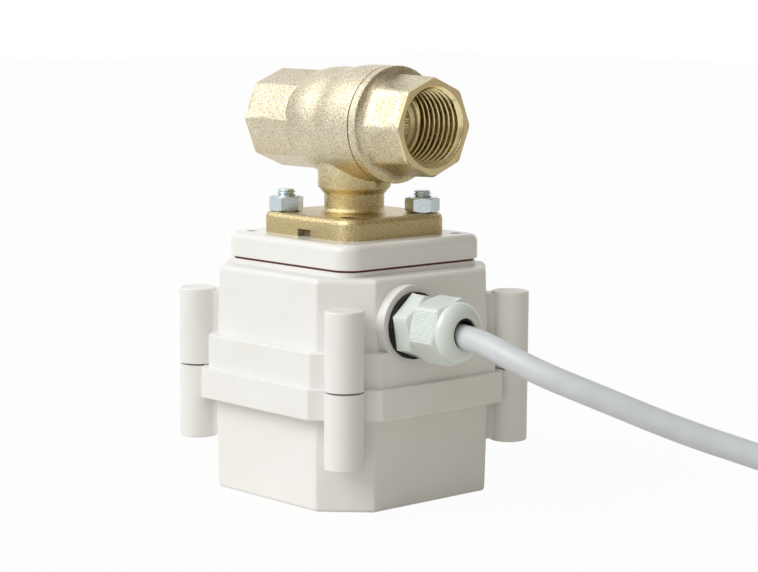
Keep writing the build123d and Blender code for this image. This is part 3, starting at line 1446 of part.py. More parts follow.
dome_x = gland_nut_x + gland_nut_hex_length
dome_end_x = dome_x + dome_length
with BuildPart() as gland_nut:
    with BuildSketch(Plane.YZ.offset(gland_nut_x)):
        with Locations((gland_y, gland_z)):
            RegularPolygon(gland_nut_flats / 2, 6, major_radius=False, rotation=gland_nut_turn)
    extrude(amount=gland_nut_hex_length)
    with BuildSketch(Plane.XZ.offset(-gland_y)):
        with BuildLine():
            Line((gland_nut_x, gland_z), (gland_nut_x, gland_z + dome_r))
            Line((gland_nut_x, gland_z + dome_r), (dome_x, gland_z + dome_r))
            EllipticalCenterArc(
                (dome_x, gland_z + dome_flat_r),
                dome_length,
                dome_r - dome_flat_r,
                start_angle=0,
                arc_size=90,
            )
            Line((dome_end_x, gland_z + dome_flat_r), (dome_end_x, gland_z))
            Line((dome_end_x, gland_z), (gland_nut_x, gland_z))
        make_face()
    revolve(axis=gland_axis)
    with BuildSketch(Plane.XZ.offset(-gland_y)):
        Polygon(
            (gland_nut_x, gland_z),
            (gland_nut_x, gland_z + gland_thread_r + fit_gap),
            (gland_mouth_x + gland_nut_end_gap, gland_z + gland_thread_r + fit_gap),
            (dome_x, gland_z + dome_hole_r),
            (dome_end_x - gland_lip, gland_z + dome_hole_r),
            (dome_end_x, gland_z + dome_hole_r + gland_lip),
            (dome_end_x, gland_z),
            align=None,
        )
    revolve(axis=gland_axis, mode=Mode.SUBTRACT)

gland_nut.part.label = "gland_nut"
export_step(gland_nut.part, "parts/gland_nut.step")

locknut_shape = hex_block(locknut_flats, locknut_thick, gland_shank_r + fit_gap)
with BuildPart() as gland_locknut:
    with Locations(Plane((locknut_x, gland_y, gland_z), (0, 1, 0), (1, 0, 0))):
        add(locknut_shape)

gland_locknut.part.label = "gland_locknut"
export_step(gland_locknut.part, "parts/gland_locknut.step")


def bend_radii(points):
    """The widest even bend at each inner point: just under half of the shorter run beside it."""
    radii = []
    for before, at, after in zip(points, points[1:], points[2:]):
        run_in = Vector(*at) - Vector(*before)
        run_out = Vector(*after) - Vector(*at)
        half_turn = radians(run_in.get_angle(run_out)) / 2
        radii.append(0.45 * min(run_in.length, run_out.length) / tan(half_turn))
    return radii


def tube(points, radius):
    """A round tube along straight runs joined by tangent arcs."""
    with BuildPart() as shape:
        with BuildLine() as path:
            FilletPolyline(*points, radius=bend_radii(points))
        with BuildSketch(Plane(path.line @ 0, z_dir=path.line % 0)):
            Circle(radius)
        sweep()
    return shape.part


# Cord inside the housing: the sheath's tail, and its cores down to the terminal block.
with BuildPart() as cord_tail:
    with BuildSketch(Plane.YZ.offset(tail_end_x)):
        with Locations((gland_y, gland_z)):
            Circle(cord_r)
    extrude(amount=boss_face_x - tail_end_x)

cord_tail.part.label = "cord_tail"
export_step(cord_tail.part, "parts/cord_tail.step")

core_end_z = terminal_top_z - core_depth + fit_gap
with BuildPart() as inner_cores:
    for (side, height), turn_x, screw_y in zip(core_bundle, core_turn_x, (0, -core_pitch, core_pitch)):
        core_y = gland_y + side
        add(
            tube(
                (
                    (tail_end_x, core_y, gland_z + height),
                    (turn_x, core_y, gland_z + height),
                    (turn_x, core_y, core_fan_z[0]),
                    (terminal_x, terminal_y + screw_y, core_fan_z[1]),
                    (terminal_x, terminal_y + screw_y, core_end_z),
                ),
                core_r,
            )
        )

inner_cores.part.label = "inner_cores"
export_step(inner_cores.part, "parts/inner_cores.step")

# Free stretch of the cord, from the housing's face through the gland to the coil.
cable = tube(cable_route, cord_r)
cable.label = "cable"
export_step(cable, "parts/cable.step")
print("cable bend radii", [round(radius, 1) for radius in bend_radii(cable_route)])
print("cable length", round(cable.volume / pi / cord_r**2, 1))

# Coil: the top layer winds in, a half turn climbs down, and the bottom layer winds out.
coil_top_z = coil_floor_z + coil_layer_rise
coil_knots = []
layer_quarters = round(coil_turns_per_layer * 4)
climb_quarters = round(coil_climb_turns * 4)
all_quarters = 2 * layer_quarters + climb_quarters
for quarter in range(all_quarters + 1):
    wound = min(quarter, all_quarters - quarter)
    radius = coil_outer_r - coil_pitch * wound / 4
    share = min(max((quarter - layer_quarters) / climb_quarters, 0.0), 1.0)
    height = coil_top_z - coil_layer_rise * share
    angle = coil_heading + 90 - 90 * quarter
    inward = coil_pitch / (2 * pi * radius)
    if wound == 0 or 2 * quarter == all_quarters:
        inward = 0.0
    elif 2 * quarter > all_quarters:
        inward = -inward
    down = 4 * coil_layer_rise / (2 * pi * radius) if 0 < share < 1 else 0.0
    around = Vector(*polar(1, angle - 90), -down) - Vector(*polar(inward, angle), 0)
    coil_knots.append((Vector(*polar(radius, angle, coil_centre), height), around.normalized()))

coil_start, coil_start_way = coil_knots[0]
coil_end, coil_end_way = coil_knots[-1]
with BuildPart() as cable_coil:
    with BuildLine() as coil_path:
        Line(coil_start - coil_start_way * coil_lead, coil_start)
        for (start, way_in), (end, way_out) in zip(coil_knots, coil_knots[1:]):
            span = end - start
            both = way_in + way_out
            spread = 2 * (1 - way_in.dot(way_out))
            reach = (-span.dot(both) + sqrt(span.dot(both) ** 2 + spread * span.dot(span))) / spread
            joint = (start + end + (way_in - way_out) * reach) * 0.5
            way = (end - way_out * reach - start - way_in * reach).normalized()
            TangentArc(start, joint, tangent=way_in)
            TangentArc(joint, end, tangent=way)
        Line(coil_end, coil_end + coil_end_way * coil_lead)
    with BuildSketch(Plane(coil_path.line @ 0, z_dir=coil_path.line % 0)):
        Circle(cord_r)
    sweep()

cable_coil.part.label = "cable_coil"
export_step(cable_coil.part, "parts/cable_coil.step")
coil_points = [coil_path.line @ (step / 1200) for step in range(1201)]
coil_length = sum(edge.length for edge in coil_path.edges())
apart = round(5 * 2 * cord_r / (coil_length / 1200))
closest = min(
    (first - second).length
    for index, first in enumerate(coil_points)
    for second in coil_points[index + apart :]
)
volume_length = cable_coil.part.volume / pi / cord_r**2
print("coil length", round(coil_length, 1), "volume length", round(volume_length, 1))
print("coil least gap to itself", round(closest - 2 * cord_r, 2))

# Far end: three bare cores with crimped sleeves, fanned out on the floor.
way = Vector(*polar(1, coil_heading), 0)
side_way = Vector(*polar(1, coil_heading + 90), 0)
cord_end = coil_end + coil_end_way * coil_lead


def end_point(along, side, height):
    """A point past the cord's end: along its heading, to its left, and above the floor."""
    place = cord_end + way * along + side_way * side
    return (place.X, place.Y, height)


core_end_routes = []
for (side, height), (lead, *fan) in zip(core_bundle, core_ends_fan):
    core_end_routes.append(
        [
            end_point(0, side, cord_end.Z + height),
            end_point(*lead, cord_end.Z + height),
            *(end_point(*place, core_floor_z) for place in fan),
        ]
    )
with BuildPart() as core_ends:
    for route in core_end_routes:
        add(tube(route, core_r))

core_ends.part.label = "core_ends"
export_step(core_ends.part, "parts/core_ends.step")

with BuildPart() as core_sleeves:
    for route in core_end_routes:
        tip = Vector(*route[-1])
        with BuildSketch(Plane(tip, x_dir=(tip - Vector(*route[-2])).normalized(), z_dir=(0, 0, 1))):
            Polygon(
                (-sleeve_overlap, core_r + fit_gap),
                (-sleeve_overlap, sleeve_collar_r),
                (sleeve_step, sleeve_pin_r + sleeve_pin_step),
                (sleeve_step, sleeve_pin_r),
                (sleeve_length, sleeve_pin_r),
                (sleeve_length, 0),
                (fit_gap, 0),
                (fit_gap, core_r + fit_gap),
                align=None,
            )
        revolve(axis=Axis(tip, tip - Vector(*route[-2])))

core_sleeves.part.label = "core_sleeves"
export_step(core_sleeves.part, "parts/core_sleeves.step")
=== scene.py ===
# %% [markdown]
# A motorized ball valve: a moulded plastic actuator stands on its cap, and a half-inch brass
# ball valve is bolted on top. A grey cord leaves the actuator through a pale plastic gland.
# The solids were measured and built beforehand. They arrive here as a fixed frame, one mesh
# for each piece, in metres. This lesson gives them their finish, and makes again the pieces
# whose real surface is richer than the solid: threads, nuts, ribs, cord and cores.

import json
import math

import bmesh
import bpy
from mathutils import Matrix, Vector

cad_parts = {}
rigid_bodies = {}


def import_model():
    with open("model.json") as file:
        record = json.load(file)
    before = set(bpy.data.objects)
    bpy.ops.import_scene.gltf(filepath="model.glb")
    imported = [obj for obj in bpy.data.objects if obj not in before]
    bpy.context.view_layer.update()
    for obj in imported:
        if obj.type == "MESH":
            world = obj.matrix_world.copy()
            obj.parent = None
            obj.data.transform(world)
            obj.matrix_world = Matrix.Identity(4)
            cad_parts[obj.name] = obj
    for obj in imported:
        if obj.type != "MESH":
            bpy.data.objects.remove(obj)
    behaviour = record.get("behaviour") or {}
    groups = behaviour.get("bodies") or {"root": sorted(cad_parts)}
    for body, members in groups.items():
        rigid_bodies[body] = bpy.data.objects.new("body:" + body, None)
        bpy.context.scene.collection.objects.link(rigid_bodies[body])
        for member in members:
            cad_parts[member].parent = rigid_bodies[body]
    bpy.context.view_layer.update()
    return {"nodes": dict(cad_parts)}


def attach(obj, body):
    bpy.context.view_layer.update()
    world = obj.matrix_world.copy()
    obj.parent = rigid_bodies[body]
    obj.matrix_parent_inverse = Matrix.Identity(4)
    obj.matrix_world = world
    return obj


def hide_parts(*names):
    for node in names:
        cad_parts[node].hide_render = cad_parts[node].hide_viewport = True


for leftover in list(bpy.data.objects):
    bpy.data.objects.remove(leftover)
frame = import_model()
solids = frame["nodes"]
MM = 0.001
print("pieces in the frame:", len(solids))

# %% [markdown]
# The camera stands where the photographer stood: a long lens, a little above the ports, to
# the right of the front. Its place and its direction come from matching known corners of the
# housing with the photograph. A camera in Blender looks along its own -Z with +Y up, so its
# rotation is built from three directions: right, up and back.

# %% Camera
camera_spot = Vector((436.87, -392.44, 131.27)) * MM
fitted_forward = Vector((-0.72984, 0.67085, -0.13148))
fitted_right = Vector((0.67612, 0.73672, 0.00663))
camera_back = -fitted_forward.normalized()
camera_right = (fitted_right - camera_back * fitted_right.dot(camera_back)).normalized()
camera_up = camera_back.cross(camera_right)
camera_turn = Matrix((camera_right, camera_up, camera_back)).transposed().to_4x4()
camera_data = bpy.data.cameras.new("camera")
camera_data.sensor_width = 36.0
camera_data.lens = 105.755
camera_data.clip_start = 0.01
camera_data.clip_end = 20.0
camera = bpy.data.objects.new("camera", camera_data)
bpy.context.scene.collection.objects.link(camera)
camera.matrix_world = Matrix.Translation(camera_spot) @ camera_turn
bpy.context.scene.camera = camera
print("camera distance", round(camera_spot.length, 3), "m")

# %% [markdown]
# Node trees get long when every link is written out. A value in a tree can instead be
# wrapped in a small class that overloads Python's operators, so that 1 - mask adds the Math
# node by itself. Python asks for another method when the value stands on the right, so each
# operator is made in both orders.

# %% Arithmetic on a value in a node tree
def both_orders(operation):
    """The methods for a value on the left of an operator, and on its right."""

    def forward(self, other):
        return self.graph.math(operation, self, other)

    def reflected(self, other):
        return self.graph.math(operation, other, self)

    return forward, reflected


class Value:
    """One output socket of a tree, with arithmetic."""

    def __init__(self, graph, socket):
        self.graph = graph
        self.socket = socket

    __add__, __radd__ = both_orders("ADD")
    __sub__, __rsub__ = both_orders("SUBTRACT")
    __mul__, __rmul__ = both_orders("MULTIPLY")
    __truediv__, __rtruediv__ = both_orders("DIVIDE")
    __pow__, __rpow__ = both_orders("POWER")

    def math(self, operation, *others):
        return self.graph.math(operation, self, *others)

    def minimum(self, other):
        return self.math("MINIMUM", other)

    def maximum(self, other):
        return self.math("MAXIMUM", other)

    def absolute(self):
        return self.math("ABSOLUTE")

    def above(self, other):
        return self.math("GREATER_THAN", other)

    def step(self, low, high):
        """0 at low, 1 at high, smooth between."""
        settings = {"interpolation_type": "SMOOTHSTEP"}
        sockets = {"Value": self, "From Min": low, "From Max": high}
        return self.graph.node("ShaderNodeMapRange", settings, sockets).out(0)


print("operators ready")

# %% [markdown]
# Every other node comes from one method that takes the node's type, its settings, and the
# values or links of its sockets. The same wrapper serves shaders and geometry, because both
# kinds of tree know the Math node and the nodes that split and join a vector.

# %% Any node from one method
class Placed:
    """A node that stands in a tree."""

    def __init__(self, graph, node):
        self.graph = graph
        self.node = node

    def out(self, key):
        return Value(self.graph, self.node.outputs[key])


class Graph:
    """A node tree, with one method that adds any node."""

    def __init__(self, tree):
        self.tree = tree
        tree.nodes.clear()

    def node(self, kind, settings=None, sockets=None):
        """Adds a node of this type. Stops are the colours of a ramp with their places."""
        made = self.tree.nodes.new(kind)
        for name, setting in (settings or {}).items():
            if name == "stops":
                elements = made.color_ramp.elements
                while len(elements) < len(setting):
                    elements.new(1.0)
                for element, (position, colour) in zip(elements, setting):
                    element.position = position
                    element.color = (*colour, 1.0)
            else:
                setattr(made, name, setting)
        for key, value in (sockets or {}).items():
            socket = made.inputs[key]
            if isinstance(value, Value):
                self.tree.links.new(value.socket, socket)
            elif value is not None:
                socket.default_value = value
        return Placed(self, made)

    def math(self, operation, *inputs):
        """One Math node on values and numbers, in their order."""
        settings = {"operation": operation}
        return self.node("ShaderNodeMath", settings, dict(enumerate(inputs))).out(0)

    def split(self, vector):
        """The three coordinates of a vector."""
        parts = self.node("ShaderNodeSeparateXYZ", sockets={0: vector})
        return parts.out(0), parts.out(1), parts.out(2)

    def point(self, x=0.0, y=0.0, z=0.0):
        """A vector from three coordinates."""
        return self.node("ShaderNodeCombineXYZ", sockets={0: x, 1: y, 2: z}).out(0)


print("node method ready")

# %% [markdown]
# The photograph was taken on a white sweep, with a large soft lamp to the left and above,
# and a dim room to the right. The world is that room: brighter towards the lamp, dimmer and
# warmer away from it. Light Path lets the camera see plain white at a strength of 1 instead,
# so the background is white without more light on the object. Rays that bounce off metal
# also see white behind the object, and a bright panel overhead, which gives the brass its
# highlights.

# %% World and lamp
dim_room, lit_room, panel_level = 0.285, 0.405, 0.9
dim_colour, lit_colour = (1.0, 0.905, 0.73, 1), (1, 1, 1, 1)
lit_way, behind_way, panel_way = (-0.45, -0.75, 0.45), (-0.73, 0.67, 0.0), (-0.35, -0.45, 0.82)
lit_range, behind_range, panel_range = (-0.55, 0.75), (0.5, 0.8), (0.72, 0.95)
lamp_level, lamp_spread = 1.62, 42
lamp_from = Vector((-0.2, -0.74, 0.62))

world = bpy.data.worlds.new("studio")
world.use_nodes = True
bpy.context.scene.world = world
sky = Graph(world.node_tree)
towards = sky.split(sky.node("ShaderNodeTexCoord").out("Generated"))


def facing(way, limits):
    """1 for rays that point along this direction, and 0 for rays that point elsewhere."""
    return (towards[0] * way[0] + towards[1] * way[1] + towards[2] * way[2]).step(*limits)


lit_side = facing(lit_way, lit_range)
behind = facing(behind_way, behind_range)
panel = facing(panel_way, panel_range)
path = sky.node("ShaderNodeLightPath")
mirror_ray = path.out("Is Glossy Ray").maximum(path.out("Is Transmission Ray"))
white_share = path.out("Is Camera Ray").maximum(mirror_ray * behind)
room = lit_side * lit_room + dim_room + panel * mirror_ray * panel_level
level = room * (1.0 - white_share) + white_share
tint = {0: lit_side.maximum(white_share), 6: dim_colour, 7: lit_colour}
colour = sky.node("ShaderNodeMix", {"data_type": "RGBA"}, tint).out(2)
backdrop = sky.node("ShaderNodeBackground", sockets={"Color": colour, "Strength": level})
sky.node("ShaderNodeOutputWorld", sockets={"Surface": backdrop.out(0)})

lamp_data = bpy.data.lights.new("soft_lamp", "SUN")
lamp_data.energy = lamp_level
lamp_data.angle = math.radians(lamp_spread)
lamp = bpy.data.objects.new("soft_lamp", lamp_data)
bpy.context.scene.collection.objects.link(lamp)
lamp.rotation_mode = "QUATERNION"
lamp.rotation_quaternion = lamp_from.to_track_quat("Z", "Y")
bpy.context.scene.view_settings.view_transform = "Standard"
print("lamp level", lamp_data.energy)

# %% [markdown]
# The sweep is a plain sheet on which the object stands. To the camera it gives nearly all
# of its brightness as light of its own, and the rest as paper that takes the soft shadow.
# Mirrors see the same bright sheet, apart from the part to the right and behind, where the
# photographer's sheet ended: that is what darkens the right-hand sides of the metal.

# %% Floor
sheet_reach = 3.0
own_light = 0.955
paper_colour, glow_colour = (0.74, 0.72, 0.67, 1), (1, 1, 1, 1)
sheet_way, sheet_fades, sheet_loss = (0.72, 0.69), (0.04, 0.2), 0.9

floor_mesh = bpy.data.meshes.new("floor")
corners = [(-1, -1), (1, -1), (1, 1), (-1, 1)]
corners = [(x * sheet_reach, y * sheet_reach, 0) for x, y in corners]
floor_mesh.from_pydata(corners, [], [(0, 1, 2, 3)])
floor = bpy.data.objects.new("floor", floor_mesh)
bpy.context.scene.collection.objects.link(floor)

floor_finish = bpy.data.materials.new("white_sweep")
floor_finish.use_nodes = True
sweep = Graph(floor_finish.node_tree)
sheet_x, sheet_y, _ = sweep.split(sweep.node("ShaderNodeTexCoord").out("Object"))
right_behind = (sheet_x * sheet_way[0] + sheet_y * sheet_way[1]).step(*sheet_fades)
seen = sweep.node("ShaderNodeLightPath")
mirror_look = seen.out("Is Glossy Ray") * (1.0 - right_behind * sheet_loss)
direct_look = seen.out("Is Camera Ray").maximum(mirror_look)
direct_look = direct_look.maximum(seen.out("Is Transmission Ray"))
paper = sweep.node("ShaderNodeBsdfDiffuse", sockets={"Color": paper_colour})
glow = sweep.node("ShaderNodeEmission", sockets={"Color": glow_colour, "Strength": 1.0})
shares = {0: direct_look * own_light, 1: paper.out(0), 2: glow.out(0)}
sheet = sweep.node("ShaderNodeMixShader", sockets=shares)
sweep.node("ShaderNodeOutputMaterial", sockets={"Surface": sheet.out(0)})
floor_mesh.materials.append(floor_finish)
print("floor reaches", sheet_reach, "m")

# %% [markdown]
# A finish is more than a colour. Each material here starts from the piece's own coordinates
# in metres, so its grain has a real size: a noise scale of 1000 means about one speck for
# each millimetre. The helper sets the shader's plain values directly on its sockets and
# links only what changes over the surface. Many surfaces have one grain that their colour,
# roughness and relief all follow, so one method links all three.

# %% Helper for a finish
class Finish:
    """A material with one Principled shader, read in the object's own coordinates."""

    def __init__(self, name, constants):
        self.material = bpy.data.materials.new(name)
        self.material.use_nodes = True
        self.graph = Graph(self.material.node_tree)
        self.place = self.graph.node("ShaderNodeTexCoord").out("Object")
        self.x, self.y, self.z = self.graph.split(self.place)
        self.shader = self.graph.node("ShaderNodeBsdfPrincipled")
        self.graph.node("ShaderNodeOutputMaterial", sockets={"Surface": self.shader.out(0)})
        for socket, value in constants.items():
            self.shader.node.inputs[socket].default_value = value

    def noise(self, scale, detail=2.0, roughness=0.5, stretch=None):
        """Specks: how many in a metre, with how many finer layers, and how strong those are."""
        place = self.place
        if stretch:
            sockets = {"Vector": place, "Scale": stretch}
            place = self.graph.node("ShaderNodeMapping", sockets=sockets).out(0)
        sockets = {"Vector": place, "Scale": scale, "Detail": detail, "Roughness": roughness}
        return self.graph.node("ShaderNodeTexNoise", sockets=sockets).out(0)

    def ramp(self, value, *stops):
        return self.graph.node("ShaderNodeValToRGB", {"stops": stops}, {0: value}).out(0)

    def mix(self, share, first, second):
        sockets = {0: share, 6: first, 7: second}
        return self.graph.node("ShaderNodeMix", {"data_type": "RGBA"}, sockets).out(2)

    def link(self, name, value):
        self.graph.tree.links.new(value.socket, self.shader.node.inputs[name])

    def tone(self, grain, dark, light):
        """A base colour that goes from dark to light with the grain."""
        self.link("Base Color", self.ramp(grain, (0.3, dark), (0.7, light)))

    def bump(self, height, distance, strength=1.0):
        sockets = {"Height": height, "Distance": distance, "Strength": strength}
        self.link("Normal", self.graph.node("ShaderNodeBump", sockets=sockets).out(0))

    def grained(self, grain, dark, light, rough, vary, depth, strength=0.4):
        """Colour, roughness and relief that all follow one grain."""
        self.tone(grain, dark, light)
        self.link("Roughness", grain * vary + rough)
        self.bump(grain, depth, strength)


print("finish helper ready")

# %% [markdown]
# The housing is moulded in a warm white plastic with a half gloss. Up close such a skin is
# never quite flat: it has a faint waviness from the mould and a very fine grain. Both go
# into the bump, and a slow change of roughness breaks up the reflections. The square plate
# under the valve comes from a polished mould and is glossier.

# %% Housing plastic
def moulded_white(name, rough, depth):
    """Warm white plastic, rougher or glossier, with a skin of a given depth."""
    finish = Finish(name, {"Specular IOR Level": 0.42})
    finish.tone(finish.noise(60.0, 3.0), (0.815, 0.81, 0.785), (0.845, 0.84, 0.82))
    finish.link("Roughness", finish.noise(240.0, 4.0) * 0.14 + rough)
    fine, wavy = finish.noise(3200.0, 2.0), finish.noise(90.0, 1.0)
    finish.bump(fine * 0.35 + wavy, depth, 0.5)
    return finish


housing_white = moulded_white("housing_white", rough=0.27, depth=0.00003)
plate_white = moulded_white("plate_white", rough=0.06, depth=0.000006)
print("housing finishes:", housing_white.material.name, plate_white.material.name)

# %% [markdown]
# The valve is sand-cast brass that was tumbled and left pale. The sand leaves a fine grain
# about a third of a millimetre across, which glitters where light grazes it. Three noises
# make it: specks, a coarser grain and slow clouds.

# %% Brass as cast
cast_brass = Finish("cast_brass", {"Metallic": 1.0})
speck = cast_brass.noise(3400.0, 2.0, 0.6)
cloud = cast_brass.noise(150.0, 4.0)
grain = cast_brass.noise(900.0, 5.0, 0.7)
sand = speck * 0.84 + cloud * 0.09 + grain * 0.07
cast_dark, cast_middle, cast_pale = (0.45, 0.36, 0.2), (0.695, 0.61, 0.425), (0.97, 0.935, 0.84)
cast_colour = cast_brass.ramp(sand, (0.34, cast_dark), (0.5, cast_middle), (0.66, cast_pale))
print("cast brass nodes so far:", len(cast_brass.graph.tree.nodes))

# %% [markdown]
# Threads, end faces and mouths are cut on a lathe after casting, so they are smoother and
# yellower. Lower down, the brass is painted darker and yellower: painted shade for its shaded
# lower side. The inside of the small notch in the flange's front edge is painted near black
# as painted shade. All of it is one finish: masks worked out from the piece's coordinates
# choose between the tones.

# %% Brass masks
port_height = 97.0
port_face, port_bore, port_mouth = (29.05, 29.15), (10.5, 10.7), (12.2, 12.6)
free_hole, hole_rim, hole_roof = (12.73, -12.73), (2.7, 2.9), (74.5, 75.0)
notch_middle, notch_side, notch_roof = 0.6, (2.45, 2.6), (69.7, 69.8)
notch_front, notch_back = (-18.35, -18.2), (-15.7, -15.3)
# the heights over which the painted shade on the lower brass fades out
low_shade_rise = (77.0, 96.0)


def past(value, limits):
    """0 before the first limit and 1 after the second, both in millimetres."""
    return value.step(limits[0] * MM, limits[1] * MM)


def away_from(first, second, centre):
    """The distance of two coordinates from a centre in millimetres."""
    first, second = first - centre[0] * MM, second - centre[1] * MM
    return (first * first + second * second) ** 0.5


spot_x, spot_y, spot_z = cast_brass.x, cast_brass.y, cast_brass.z
from_pipe = away_from(spot_y, spot_z, (0.0, port_height))
on_face = past(spot_x.absolute(), port_face) * (1.0 - past(from_pipe, port_mouth))
in_bore = 1.0 - past(from_pipe, port_bore)
from_hole = away_from(spot_x, spot_y, free_hole)
in_hole = (1.0 - past(from_hole, hole_rim)) * (1.0 - past(spot_z, hole_roof))
machined = on_face.maximum(in_bore).maximum(in_hole)
# painted shade: the inside of the flange's notch is painted near black
from_notch = (spot_x - notch_middle * MM).absolute()
notch_shade_mask = (1.0 - past(from_notch, notch_side)) * (1.0 - past(spot_z, notch_roof))
notch_shade_mask = notch_shade_mask * past(spot_y, notch_front) * (1.0 - past(spot_y, notch_back))
# painted shade: below the ports the brass is painted darker and yellower
low_shade_mask = 1.0 - past(spot_z, low_shade_rise)

# the painted shade colour for the lower brass, and its mix
shade_yellow = cast_brass.ramp(speck, (0.34, (0.42, 0.32, 0.13)), (0.66, (0.70, 0.56, 0.27)))
with_low_shade = cast_brass.mix(low_shade_mask * 0.75, cast_colour, shade_yellow)
# painted near-black shade inside the flange's notch
with_notch_shade = cast_brass.mix(notch_shade_mask * 0.95, with_low_shade, (0.04, 0.025, 0.01, 1))
cast_brass.link("Base Color", cast_brass.mix(machined, with_notch_shade, (0.74, 0.62, 0.36, 1)))
cast_rough, machined_rough = speck * 0.3 + 0.13, machined * 0.26
cast_brass.link("Roughness", cast_rough * (1.0 - machined) + machined_rough)
cast_brass.bump((speck * 0.8 + grain * 0.6) * (1.0 - machined * 0.94), 0.00019)
print("cast brass nodes:", len(cast_brass.graph.tree.nodes))

# %% [markdown]
# The stem, the shaft and the pinion are turned from drawn brass bar, which has fine lines
# along its length, so its noise is stretched along two axes. The tapped threads are bare
# brass under a thin film of oil. Zinc-plated steel is bluish and bright, with tiny tumbling
# marks, and the ball is chromed.

# %% Turned brass, zinc and chrome
turned_brass = Finish("turned_brass", {"Metallic": 1.0})
lines = turned_brass.noise(9000.0, 2.0, 0.5, (1.0, 0.05, 0.05))
turned_brass.grained(
    lines, (0.66, 0.50, 0.22), (0.80, 0.66, 0.36), rough=0.14, vary=0.16, depth=0.00002
)

tapped_brass = Finish("tapped_brass", {"Metallic": 1.0})
film = tapped_brass.noise(500.0, 4.0, 0.6)
tapped_brass.grained(
    film, (0.72, 0.58, 0.28), (0.88, 0.77, 0.50), rough=0.1, vary=0.18, depth=0.00003
)

zinc = Finish("zinc_plate", {"Metallic": 1.0})
marks = zinc.noise(1500.0, 4.0, 0.7)
zinc.grained(marks, (0.52, 0.60, 0.62), (0.72, 0.80, 0.82), rough=0.12, vary=0.16, depth=0.00002)

chrome = Finish("ball_chrome", {"Metallic": 1.0})
haze = chrome.noise(300.0, 3.0)
chrome.tone(haze, (0.70, 0.70, 0.69), (0.78, 0.78, 0.77))
chrome.link("Roughness", haze * 0.1 + 0.05)
print("metals:", [metal.material.name for metal in (turned_brass, tapped_brass, zinc, chrome)])

# %% [markdown]
# Nylon for the gland is a pale green white and glossy. Rubber is nearly black and dull. The
# other plastics differ only in their tones and gloss, so one function makes them all.

# %% Plastics and rubber
nylon = Finish("gland_nylon", {"Specular IOR Level": 0.55})
nylon.tone(nylon.noise(140.0, 3.0), (0.70, 0.765, 0.735), (0.75, 0.815, 0.785))
nylon.link("Roughness", nylon.noise(260.0, 3.0) * 0.06 + 0.15)
nylon.bump(nylon.noise(420.0, 3.0), 0.000006, 0.4)


def dull(name, dark, light, rough, shine=0.5):
    """A plain moulded or rubber finish with a fine grain."""
    finish = Finish(name, {"Specular IOR Level": shine})
    fine = finish.noise(1400.0, 4.0, 0.6)
    finish.grained(fine, dark, light, rough, vary=0.2, depth=0.00004, strength=0.6)
    return finish


black_rubber = dull("black_rubber", (0.006, 0.006, 0.006), (0.018, 0.018, 0.019), 0.5, 0.25)
red_gasket = dull("red_gasket", (0.10, 0.02, 0.018), (0.17, 0.045, 0.035), 0.6)
black_plastic = dull("black_plastic", (0.03, 0.03, 0.032), (0.05, 0.05, 0.055), 0.35)
seat_white = dull("seat_white", (0.78, 0.78, 0.76), (0.86, 0.86, 0.84), 0.4)
gear_white = dull("gear_white", (0.72, 0.70, 0.62), (0.80, 0.79, 0.72), 0.3)
board_green = dull("board_green", (0.02, 0.13, 0.05), (0.03, 0.19, 0.08), 0.25)
terminal_green = dull("terminal_green", (0.05, 0.25, 0.11), (0.07, 0.32, 0.15), 0.35)
print("materials so far:", len(bpy.data.materials))

# %% [markdown]
# Some pieces are made again with more detail than the solids carry. What follows a rule is
# made by a Geometry Nodes tree with named inputs, so that one tree serves several pieces.
# The helper runs such a tree once and keeps the plain mesh that it gives.

# %% Geometry tree with named inputs
class Recipe:
    """A Geometry Nodes tree that is run once and leaves a plain mesh."""

    def __init__(self, name, takes_mesh, **kinds):
        self.tree = bpy.data.node_groups.new(name, "GeometryNodeTree")
        self.graph = Graph(self.tree)
        self.keys = {}
        if takes_mesh:
            self.socket("Blank", "INPUT", "Geometry")
        for label, kind in {**kinds, "finish": "Material"}.items():
            self.keys[label] = self.socket(label, "INPUT", kind).identifier
        self.socket("Made", "OUTPUT", "Geometry")
        self.entry = self.graph.node("NodeGroupInput")

    def socket(self, label, way, kind):
        kind = f"NodeSocket{kind}"
        return self.tree.interface.new_socket(label, in_out=way, socket_type=kind)

    def value(self, label):
        return self.entry.out(label)

    def end(self, mesh):
        whole = self.graph.node("GeometryNodeRealizeInstances", sockets={0: mesh})
        sockets = {"Geometry": whole.out(0), "Material": self.value("finish")}
        painted = self.graph.node("GeometryNodeSetMaterial", sockets=sockets)
        self.graph.node("NodeGroupOutput", sockets={0: painted.out(0)})

    def run(self, blank=None, **values):
        mesh = blank or bpy.data.meshes.new("blank")
        holder = bpy.data.objects.new("recipe", mesh)
        bpy.context.scene.collection.objects.link(holder)
        modifier = holder.modifiers.new("recipe", "NODES")
        modifier.node_group = self.tree
        for label, value in values.items():
            modifier[self.keys[label]] = value
        evaluated = holder.evaluated_get(bpy.context.evaluated_depsgraph_get())
        made = bpy.data.meshes.new_from_object(evaluated)
        holder.modifiers.remove(modifier)
        bpy.data.objects.remove(holder)
        return made


print("geometry helper ready")

# %% [markdown]
# A thread is a helical ridge. It could be swept along a helix and fused with its bore, but
# that is heavy and often fails. Here it is a grid of points rolled into a tube, where each
# point's distance from the axis depends on its height and its angle: the ridge comes back
# once for each pitch, and moves by one pitch in one turn. A cone at the mouth cuts the first
# ridge away. Two more rows of points make the plain wall behind, which closes the sleeve.

